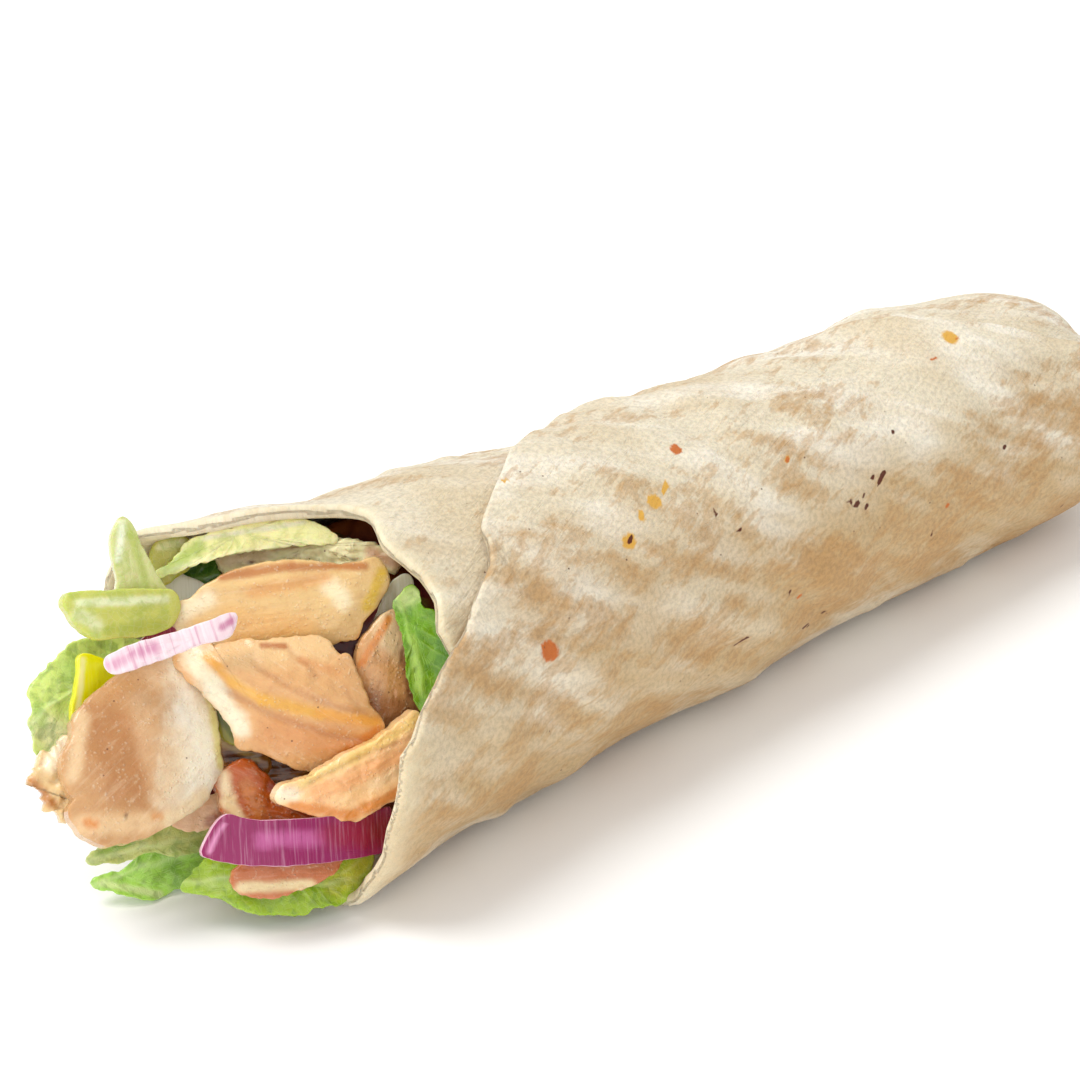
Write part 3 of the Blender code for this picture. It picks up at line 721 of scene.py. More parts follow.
    def build(self) -> bpy.types.Object:
        """Lays the bread out flat, gives it two faces that meet at a rounded border, and winds it.

        Returns:
            The bread's object.
        """
        rows = self.rows()
        columns = [self.windings(along) for along in rows]
        across, down = len(columns[0]), len(rows)
        bm = bmesh.new()
        flat = bm.verts.layers.float_vector.new("flat")
        marks = bm.verts.layers.float_color.new("marks")
        rim = bm.verts.layers.float.new("rim")
        toast = bm.verts.layers.float_vector.new("toast")
        bmesh.ops.create_grid(bm, x_segments=across - 1, y_segments=down - 1, size=0.5)
        upper = set(bm.verts)
        copy = bmesh.ops.duplicate(bm, geom=bm.verts[:] + bm.edges[:] + bm.faces[:])
        lower_faces = [item for item in copy["geom"] if isinstance(item, bmesh.types.BMFace)]
        bmesh.ops.reverse_faces(bm, faces=lower_faces)
        reliefs: dict[tuple[int, int], float] = {}
        for vert in bm.verts:
            column = round((vert.co.x + 0.5) * (across - 1))
            row = round((vert.co.y + 0.5) * (down - 1))
            border = min(column, row, across - 1 - column)
            winding, along = columns[row][column], rows[row]
            place = self.moved(winding, along)
            outer = vert in upper
            if (column, row) not in reliefs:
                reliefs[column, row] = self.roll.relief(winding, place)
            lift = self.lift(winding, along, place, reliefs[column, row], border, 1.0 if outer else -1.0)
            pattern = 0.0 if outer else self.inner_pattern
            vert[flat] = (place, math.radians(winding) * self.flat_radius, pattern)
            vert[marks] = (*self.marks_at(winding, place), 1.0) if outer else (0.0, 0.0, 0.0, 1.0)
            vert[rim] = bell(along - self.roll.rim_start, 5.0)
            vert[toast] = self.toasted_at(winding, place) if outer else (0.0, 0.3, 0.0)
            vert.co = self.roll.axis @ (self.roll.point(winding, place, lift) * MM)
        bmesh.ops.remove_doubles(bm, verts=bm.verts[:], dist=0.00001)
        bmesh.ops.recalc_face_normals(bm, faces=bm.faces[:])
        if bm.calc_volume(signed=True) < 0:
            bmesh.ops.reverse_faces(bm, faces=bm.faces[:])
        item = new_object("flatbread", bm, self.finish.material())
        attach(item, "root")
        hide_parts("tortilla")
        return item


def new_object(name: str, bm: bmesh.types.BMesh, material: bpy.types.Material) -> bpy.types.Object:
    """Makes an object of a bmesh.

    Args:
        name: its name.
        bm: the shape, which is freed.
        material: its finish.

    Returns:
        The object, smooth shaded and linked to the scene.
    """
    mesh = bpy.data.meshes.new(name)
    bm.to_mesh(mesh)
    bm.free()
    mesh.shade_smooth()
    mesh.materials.append(material)
    item = bpy.data.objects.new(name, mesh)
    bpy.context.scene.collection.objects.link(item)
    return item


@dataclass(frozen=True)
class Groove:
    """A crease or, with a negative depth, a ridge on a slice: start and end in mm, depth and width."""

    start: tuple[float, float]
    end: tuple[float, float]
    depth: float
    width: float
    bow: float = 0.0


@dataclass(frozen=True)
class Tint:
    """A soft stretch of colour on a piece, along a line in mm, with its half width and share."""

    start: tuple[float, float]
    end: tuple[float, float]
    width: float
    colour: str
    share: float = 0.9


@dataclass(frozen=True)
class Relief:
    """How a piece's surface stands in and out, in millimetres."""

    bevel: float = 0.50
    dome: float = 0.30
    lump: float = 0.35
    lump_size: float = 6.0
    fibre: float = 0.06
    fibre_width: float = 0.9
    fibre_length: float = 6.0
    fibre_turn: float = 0.0
    ragged: float = 0.45
    ragged_size: float = 1.8
    pits: float = 0.25
    pit_size: float = 1.3


CHICKEN_RELIEF = Relief()
TORN_RELIEF = Relief(0.9, 0.6, 0.8, 2.8, 0.18, 0.9, 3.5, 60.0, 1.1, 1.2, 0.7, 1.1)
LEAF_RELIEF = Relief(0.35, 0.0, 0.5, 4.5, 0.05, 1.2, 6.0, 0.0, 0.45, 1.6, 0.0)
CRISP_RELIEF = Relief(0.25, 0.1, 0.12, 6.0, 0.05, 0.7, 9.0, 90.0, 0.12, 2.0, 0.0)
RIB_RELIEF = Relief(0.45, 0.15, 0.25, 6.0, 0.10, 0.9, 12.0, 0.0, 0.25, 2.5, 0.0)


@dataclass(frozen=True)
class Meat:
    """Cooked chicken, sliced: moist, a little see-through, with fine fibres and fat that glistens, partly as
    painted glints.
    """

    name: str = "cooked_chicken"
    glints: float = 0.7
    roughness: float = 0.36
    sear: str = "A4582A"
    fat: str = "FBE9C8"
    spice: str = "5A2A12"

    def material(self) -> bpy.types.Material:
        """Builds the slice's material: its own colours, fibres, spice specks, beads of fat lightened as
        painted glints, and creases darkened as painted shade.

        Returns:
            The material.
        """
        n = Nodes(self.name)
        body = n.add("TexCoord", "Object")
        fibres = n.add("Attribute", "Vector", attribute_name="size")
        fibres = n.grain(fibres, 0.0, 0.16, 0.9, 4.0, 0.6, 0.4)
        mottle = n.add("TexNoise", Vector=body, Scale=1 / (1.6 * MM), Detail=3.0, Roughness=0.6,
                       Distortion=0.3)
        # Spice specks, about a third of a millimetre wide, in cells of 2.4 mm
        specks = n.specks(body, 420.0, (0.62, 0.66), (0.05, 0.10))
        # Beads of fat and juice, half a millimetre wide, that also lighten the colour as painted glints
        beads = n.add("TexVoronoi", feature="SMOOTH_F1", Vector=body, Scale=1500.0)
        beads = n.add("ValToRGB", stops=((0.12, 1.0), (0.40, 0.0)), Fac=beads)
        wet = n.add("TexNoise", Vector=body, Scale=1 / (2.6 * MM), Detail=3.0, Roughness=0.7)
        wet = n.add("ValToRGB", stops=((0.46, 0.0), (0.60, 1.0)), Fac=wet)
        beads = n.add("Math", operation="MULTIPLY", i0=beads, i1=wet)
        base = n.over(n.add("Attribute", "Color", attribute_name="tint"),
                      (mottle, ((0.45, 0.0), (0.80, 0.20)), self.sear),
                      (fibres, ((0.50, 0.0), (0.75, 0.16)), self.fat),
                      (fibres, ((0.28, 0.12), (0.42, 0.0)), self.sear),
                      # Painted shade: creases darkened toward the seared colour
                      (n.add("Attribute", "Fac", attribute_name="dip"), 0.45, self.sear),
                      # Painted glints: the beads lighten the colour toward fat
                      (specks, 0.7, self.spice), (beads, self.glints * 0.35, self.fat))
        lumps = n.add("TexNoise", Vector=body, Scale=1 / (0.6 * MM), Detail=3.0, Roughness=0.65)
        normal = n.raised((fibres, 0.16, 0.6), (lumps, 0.16, 0.6), (beads, 0.14, self.glints))
        glossy, dull = self.roughness - 0.12, self.roughness + 0.12
        gloss = n.add("TexNoise", Vector=body, Scale=1 / (3.5 * MM), Detail=3.0, Roughness=0.6)
        gloss = n.add("ValToRGB", stops=((0.35, glossy), (0.7, dull)), Fac=gloss)
        return n.finish(base, normal, Roughness=gloss, Specular_IOR_Level=0.5, IOR=1.40,
                        Subsurface_Weight=0.22, Subsurface_Radius=(1.0, 0.55, 0.30),
                        Subsurface_Scale=0.0012, Coat_Weight=0.55, Coat_Roughness=0.11)


@dataclass(frozen=True)
class Leaf:
    """Lettuce: waxy, thin enough to glow, with a paler rib and veins that branch from it."""

    name: str = "lettuce_leaf"
    vein: str = "E4EDB4"
    deep: str = "4A7C10"
    roughness: float = 0.30
    glow: float = 0.30

    def material(self) -> bpy.types.Material:
        """Builds the leaf's material: its own greens, blotches and raised veins.

        Returns:
            The material.
        """
        n = Nodes(self.name)
        size = n.add("Attribute", "Vector", attribute_name="size")
        blotch = n.add("TexNoise", Vector=size, Scale=1 / 2.6, Detail=3.0, Roughness=0.6, Distortion=0.6)
        # The finest veins, a net with a mesh of 1.1 mm
        net = n.add("TexVoronoi", feature="DISTANCE_TO_EDGE", Vector=size, Scale=0.9)
        net = n.add("ValToRGB", stops=((0.02, 1.0), (0.10, 0.0)), Fac=net)
        base = n.over(n.add("Attribute", "Color", attribute_name="tint"),
                      (blotch, ((0.42, 0.0), (0.70, 0.50)), self.deep),
                      (n.add("Attribute", "Fac", attribute_name="dip"), 0.36, self.vein),
                      (net, 0.08, self.vein))
        skin = n.add("TexNoise", Vector=size, Scale=1 / 0.8, Detail=3.0, Roughness=0.6)
        normal = n.raised((net, 0.08, 0.4), (skin, 0.10, 0.5))
        return n.finish(base, normal, Roughness=self.roughness, Specular_IOR_Level=0.5, IOR=1.42,
                        Subsurface_Weight=self.glow, Subsurface_Radius=(0.5, 1.0, 0.2),
                        Subsurface_Scale=0.0012, Coat_Weight=0.30, Coat_Roughness=0.15)


@dataclass(frozen=True)
class Crisp:
    """Raw onion, pepper or pickle: crisp and wet, with fine parallel veins and paler cut edges."""

    name: str = "red_onion"
    pale: str = "EBC2D6"
    deep: str = "7E1048"
    pale_share: float = 0.40
    deep_share: float = 0.40
    streak_width: float = 0.55
    edge_share: float = 0.75
    roughness: float = 0.20
    glow: float = 0.22

    def material(self) -> bpy.types.Material:
        """Builds the layer's material: its own colours, with fine streaks across it.

        Returns:
            The material.
        """
        n = Nodes(self.name)
        size = n.add("Attribute", "Vector", attribute_name="size")
        streaks = n.grain(size, 0.0, 0.05, self.streak_width, 3.0, 0.65, 0.1)
        base = n.over(n.add("Attribute", "Color", attribute_name="tint"),
                      (streaks, ((0.50, 0.0), (0.68, self.pale_share)), self.pale),
                      (streaks, ((0.32, self.deep_share), (0.47, 0.0)), self.deep),
                      (n.add("Attribute", "Fac", attribute_name="edge"),
                       ((0.05, 0.0), (0.35, self.edge_share)), self.pale))
        skin = n.add("TexNoise", Vector=size, Scale=1 / 0.6, Detail=2.0, Roughness=0.5)
        normal = n.raised((streaks, 0.07, 0.5), (skin, 0.05, 0.4))
        return n.finish(base, normal, Roughness=self.roughness, Specular_IOR_Level=0.5, IOR=1.38,
                        Subsurface_Weight=self.glow, Subsurface_Radius=(1.0, 0.5, 0.6),
                        Subsurface_Scale=0.0014, Coat_Weight=0.35, Coat_Roughness=0.10)


@dataclass(frozen=True)
class PackedFilling:
    """What lies behind the slices: chopped chicken, leaf and onion in dark juices, packed tight, with painted
    shade deepening it toward each bit's border.
    """

    name: str = "packed_filling"
    # Dark juice, also laid on as painted shade in the gaps of the filling
    juice: str = "5A1C08"
    meat: str = "96501E"
    green: str = "3E5A14"
    onion: str = "5A1018"
    chop: float = 6.5

    def material(self) -> bpy.types.Material:
        """Builds the filling's material, with each chopped bit in a colour of its own, darkened toward its
        border as painted shade.

        Returns:
            The material.
        """
        n = Nodes(self.name)
        body = n.add("TexCoord", "Object")
        warp = n.add("TexNoise", "Color", Vector=body, Scale=160.0, Detail=2.0)
        bent = n.add("Mix", 1, data_type="VECTOR", i0=0.006, i4=body, i5=warp)
        cells = n.add("TexVoronoi", feature="F1", Vector=bent, Scale=1.0 / (self.chop * MM))
        pick = n.add("SeparateColor", Color=cells.node.outputs["Color"])
        kinds = ((0.0, self.juice), (0.35, self.meat), (0.62, self.green), (0.85, self.onion))
        colour = n.add("ValToRGB", stops=kinds, Fac=pick)
        colour.node.color_ramp.interpolation = "LINEAR"
        stain = n.add("TexNoise", Vector=body, Scale=1 / (1.5 * MM), Detail=4.0, Roughness=0.7)
        # Painted shade: each bit darkens toward its border in the dark juice colour; the stains are juice
        colour = n.over(colour, (cells, ((0.35, 0.0), (0.75, 0.95)), self.juice), (stain, 0.5, self.juice))
        lumps = n.add("TexNoise", Vector=body, Scale=1 / (1.2 * MM), Detail=4.0, Roughness=0.6)
        normal = n.raised((lumps, 0.4, 0.7))
        return n.finish(colour, normal, Roughness=0.6, Specular_IOR_Level=0.15, Subsurface_Weight=0.2,
                        Subsurface_Radius=(1.0, 0.4, 0.2), Subsurface_Scale=0.0015)


def closed_curve(points: tuple, count: int) -> list[Vector]:
    """Draws a smooth closed curve through an outline.

    Args:
        points: the outline's corners in mm.
        count: how many points to return.

    Returns:
        Evenly spaced points, anticlockwise.
    """
    corners = [Vector(point) for point in points]
    if sum(corners[i - 1].cross(corner) for i, corner in enumerate(corners)) < 0:
        corners.reverse()
    steps = 12
    dense = []
    for i in range(len(corners)):
        p0, p1, p2, p3 = (corners[(i + k) % len(corners)] for k in (-1, 0, 1, 2))
        for s in range(steps):
            t = s / steps
            dense.append(0.5 * (2 * p1 + (p2 - p0) * t + (2 * p0 - 5 * p1 + 4 * p2 - p3) * t**2
                                + (3 * p1 - p0 - 3 * p2 + p3) * t**3))
    lengths = [(dense[(i + 1) % len(dense)] - dense[i]).length for i in range(len(dense))]
    total = sum(lengths)
    found = []
    walked = 0.0
    i = 0
    for j in range(count):
        target = total * j / count
        while walked + lengths[i] < target:
            walked += lengths[i]
            i += 1
        found.append(dense[i].lerp(dense[(i + 1) % len(dense)], (target - walked) / lengths[i]))
    return found


def heart(rim: list[Vector]) -> Vector:
    """Finds the place inside an outline that sees all of its edge most squarely.

    Args:
        rim: points of the outline, anticlockwise.

    Returns:
        That place.
    """
    coarse = rim[::4]
    low = Vector((min(p.x for p in rim), min(p.y for p in rim)))
    high = Vector((max(p.x for p in rim), max(p.y for p in rim)))
    best, best_view = (low + high) / 2, -math.inf
    steps = 22
    for i in range(1, steps):
        for j in range(1, steps):
            here = Vector((low.x + (high.x - low.x) * i / steps, low.y + (high.y - low.y) * j / steps))
            view = math.inf
            for k, corner in enumerate(coarse):
                before = coarse[k - 1]
                run, there = corner - before, here - before
                view = min(view, (run.x * there.y - run.y * there.x) / run.length)
                if view < best_view:
                    break
            if view > best_view:
                best, best_view = here, view
    return best


@dataclass
class Slice:
    """One piece of filling, cut along its own outline: crisp edged, a little curled, rough where torn."""

    node: str
    name: str
    finish: object
    record_slot: str
    place: tuple[float, float, float]
    tilt: tuple[float, float]
    outline: tuple
    thickness: float
    colour: str
    tints: tuple[Tint, ...] = ()
    curl: tuple[float, float, float] = (0.0, 0.0, 0.0)
    relief: Relief = CHICKEN_RELIEF
    grooves: tuple[Groove, ...] = ()
    ruffle: float = 0.0
    ruffles: int = 0
    rib: tuple = ()
    spacing: float = 0.36
    rings: int = 34
    roll: Roll = field(default_factory=Roll)
    face_share: float = 0.72
    bevel_share: float = 0.90
    vein_gap: float = 3.0
    press: float = 0.55

    def rim(self) -> list[Vector]:
        """Draws the outline, pressed out against the neighbours and roughened.

        Returns:
            Its points in mm, anticlockwise.
        """
        corners = [Vector(point) for point in self.outline]
        around = sum((corner - corners[i - 1]).length for i, corner in enumerate(corners))
        count = max(28, 4 * round(around / self.spacing / 4))
        points = closed_curve(self.outline, count)
        found = []
        for i, point in enumerate(points):
            run = (points[(i + 1) % count] - points[i - 1]).normalized()
            wave = noise.noise(Vector((point.x, point.y, len(self.node))) / self.relief.ragged_size)
            wave += 0.5 * noise.noise(Vector((point.x, point.y, 40.0)) / (self.relief.ragged_size * 0.4))
            found.append(point + Vector((run.y, -run.x)) * (self.press + self.relief.ragged * wave))
        return found

    def profile(self, share: float, bevel: float) -> tuple[float, float]:
        """Reads the slab's section from its middle to its edge.

        Args:
            share: 0 at the middle of the face, 1 at half depth on the edge.
            bevel: the edge's rounding as a share of the distance from middle to edge.

        Returns:
            How far out, 0 to 1, and the height over half depth in mm.
        """
        half, radius = self.thickness / 2, min(self.relief.bevel, self.thickness / 2 - 0.05)
        if share < self.face_share:
            return share / self.face_share * (1 - bevel), half
        if share < self.bevel_share:
            turn = (share - self.face_share) / (self.bevel_share - self.face_share) * math.pi / 2
            return 1 - bevel * (1 - math.sin(turn)), half - radius * (1 - math.cos(turn))
        return 1.0, (half - radius) * (1 - share) / (1 - self.bevel_share)

    def bend(self, x: float, y: float, half: tuple[float, float]) -> float:
        """Returns how far the piece's middle surface stands out of its flat plane, in millimetres."""
        u, v = x / half[0], y / half[1]
        return self.curl[0] * u * u + self.curl[1] * v * v + self.curl[2] * u * v

    def rise(self, x: float, y: float) -> tuple[float, float]:
        """Reads the face's relief.

        Args:
            x: mm across from the piece's middle.
            y: mm up from it.

        Returns:
            Height, and how deep in a groove the place is, which the meat darkens by as painted shade.
        """
        r = self.relief
        run, side = turned(x, y, -r.fibre_turn)
        height = r.lump * noise.noise(Vector((x, y, 31.0)) / r.lump_size)
        height += 0.4 * r.lump * noise.noise(Vector((x, y, 77.0)) / (r.lump_size * 0.4))
        height += r.fibre * noise.noise(Vector((run / r.fibre_length, side / r.fibre_width, 3.0)))
        if r.pits:
            height -= r.pits * max(0.0, noise.noise(Vector((x + 9, y, 5.0)) / r.pit_size) - 0.15)
        dip = 0.0
        for groove in self.grooves:
            share, aside = along_line(x, y, groove.start, groove.end)
            aside += 0.35 * noise.noise(Vector((x / 2.5, y / 2.5, 11.0)))
            aside -= groove.bow * 4 * share * (1 - share) if 0 < share < 1 else 0.0
            line = bell(aside, groove.width) * ease(share, -0.12, 0.1) * ease(1 - share, -0.12, 0.1)
            height -= groove.depth * line
            dip = max(dip, line * min(1.0, groove.depth / 0.4))
        return height, dip

    def vein(self, x: float, y: float) -> float:
        """Reads a leaf's rib and the branches that leave it.

        Args:
            x: mm across from the piece's middle.
            y: mm up from it.

        Returns:
            How strongly one shows there, 0 to 1.
        """
        if not self.rib:
            return 0.0
        start, end = self.rib
        x += 0.9 * noise.noise(Vector((x / 4, y / 4, 21.0)))
        y += 0.9 * noise.noise(Vector((x / 4, y / 4, 25.0)))
        share, aside = along_line(x, y, start, end)
        long = (Vector(end) - Vector(start)).length
        main = bell(aside, 0.55) * (1.0 - 0.5 * ease(share, 0.5, 1.1))
        phase = (share * long - abs(aside) * 0.9) / self.vein_gap + (0.5 if aside > 0 else 0.0)
        near = abs(phase - round(phase)) * self.vein_gap
        return max(main, 0.6 * bell(near, 0.24) * ease(6.5 - abs(aside), 0, 4))

    def tint(self, x: float, y: float) -> tuple[float, float, float, float]:
        """Reads the piece's own colour.

        Args:
            x: mm across from the piece's middle.
            y: mm up from it.

        Returns:
            Linear red, green, blue and alpha there.
        """
        found = Vector(linear(self.colour))
        for stretch in self.tints:
            share, aside = along_line(x, y, stretch.start, stretch.end)
            long = (Vector(stretch.end) - Vector(stretch.start)).length
            away = math.hypot(aside, max(0.0, -share, share - 1.0) * long) / stretch.width
            away += 0.28 * noise.noise(Vector((x / 2.1, y / 2.1, 61.0)))
            away += 0.14 * noise.noise(Vector((x / 0.8, y / 0.8, 67.0)))
            found = found.lerp(Vector(linear(stretch.colour)), stretch.share * (1 - ease(away, 0.25, 1.55)))
        return tuple(found)

    @property
    def stand(self) -> Matrix:
        """Place of the piece's own frame, in metres."""
        tilt = Euler((math.radians(self.tilt[0]), math.radians(self.tilt[1]), 0.0)).to_matrix().to_4x4()
        return self.roll.face @ Matrix.Translation(Vector(self.place) * MM) @ tilt

    def build(self) -> bpy.types.Object:
        """Makes the piece from a round ball of rings, pressed into a slab of its outline.

        Returns:
            Its object, riding on the root body in the solid's place.
        """
        rim = self.rim()
        count = len(rim)
        middle = heart(rim)
        half = (max(abs(p.x) for p in rim), max(abs(p.y) for p in rim))
        stand = self.stand
        bm = bmesh.new()
        size = bm.verts.layers.float_vector.new("size")
        edge = bm.verts.layers.float.new("edge")
        dip = bm.verts.layers.float.new("dip")
        colour = bm.verts.layers.float_color.new("tint")
        bmesh.ops.create_uvsphere(bm, u_segments=count, v_segments=2 * self.rings, radius=1.0)
        for vert in bm.verts:
            turn = math.atan2(vert.co.y, vert.co.x) / (2 * math.pi)
            border = rim[round(turn * count) % count]
            share = math.acos(max(-1.0, min(1.0, abs(vert.co.z)))) / (math.pi / 2)
            bevel = min(0.4, self.relief.bevel / max((border - middle).length, 0.1))
            reach, height = self.profile(share, bevel)
            front = vert.co.z > 0
            x, y = middle.lerp(border, reach)
            rise, deep = self.rise(x, y)
            vein = self.vein(x, y)
            level = self.bend(x, y, half)
            level += self.ruffle * reach**2 * math.sin(2 * math.pi * self.ruffles * turn)
            level += height if front else -height
            fade = 1 - ease(share, 0.8, 1.0)
            if front or self.rib:
                level += (rise + 0.22 * vein) * fade - self.relief.dome * reach**4 * fade
            vert[size] = (*turned(x, y, -self.relief.fibre_turn), height)
            vert[edge] = ease(share, self.face_share, 1.0)
            # A leaf's own paler veins, or else the crease depth that the meat darkens as painted shade
            vert[dip] = vein if self.rib else deep
            vert[colour] = self.tint(x, y)
            vert.co = stand @ (Vector((x, y, level)) * MM)
        bmesh.ops.recalc_face_normals(bm, faces=bm.faces[:])
        material = bpy.data.materials.get(self.finish.name) or self.finish.material()
        item = new_object(self.name, bm, material)
        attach(item, "root")
        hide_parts(self.node)
        return item


MEAT = Meat()
SEARED = Meat("seared_chicken", 1.0, 0.26, "6E3616", "F0D8B0")
LEAF = Leaf()
GLOSSY = Leaf("lettuce_glossy_leaf", "B8D86A", "2F6A12", 0.18, 0.22)
RIB = Leaf("lettuce_rib", "F0F3D4", "A4B648", 0.22, 0.45)
ONION = Crisp("red_onion", "E9BCD2", "6E0A3C", 0.20, 0.45, 0.5, 0.85)
# A dark red onion for the shaded gap behind the slices: painted shade
SHADED_ONION = Crisp("red_onion_shaded", "7E2420", "3A0A08", 0.3, 0.5, 1.2, 0.2, 0.5, 0.1)
PALE_ONION = Crisp("pale_red_onion", "F9EEF0", "C26E96", 0.5, 0.5, 0.9)
WHITE_ONION = Crisp("white_onion", "F6F3E2", "C9C79A", 0.5, 0.3)
PEPPER = Crisp("yellow_pepper", "F0EE9C", "C8C800", 0.06, 0.2, 1.2, 0.08, 0.2, 0.2)
PICKLE = Crisp("pickled_pepper", "D6A24A", "4E2408", 0.3, 0.5, 1.0, 0.5, 0.14, 0.3)

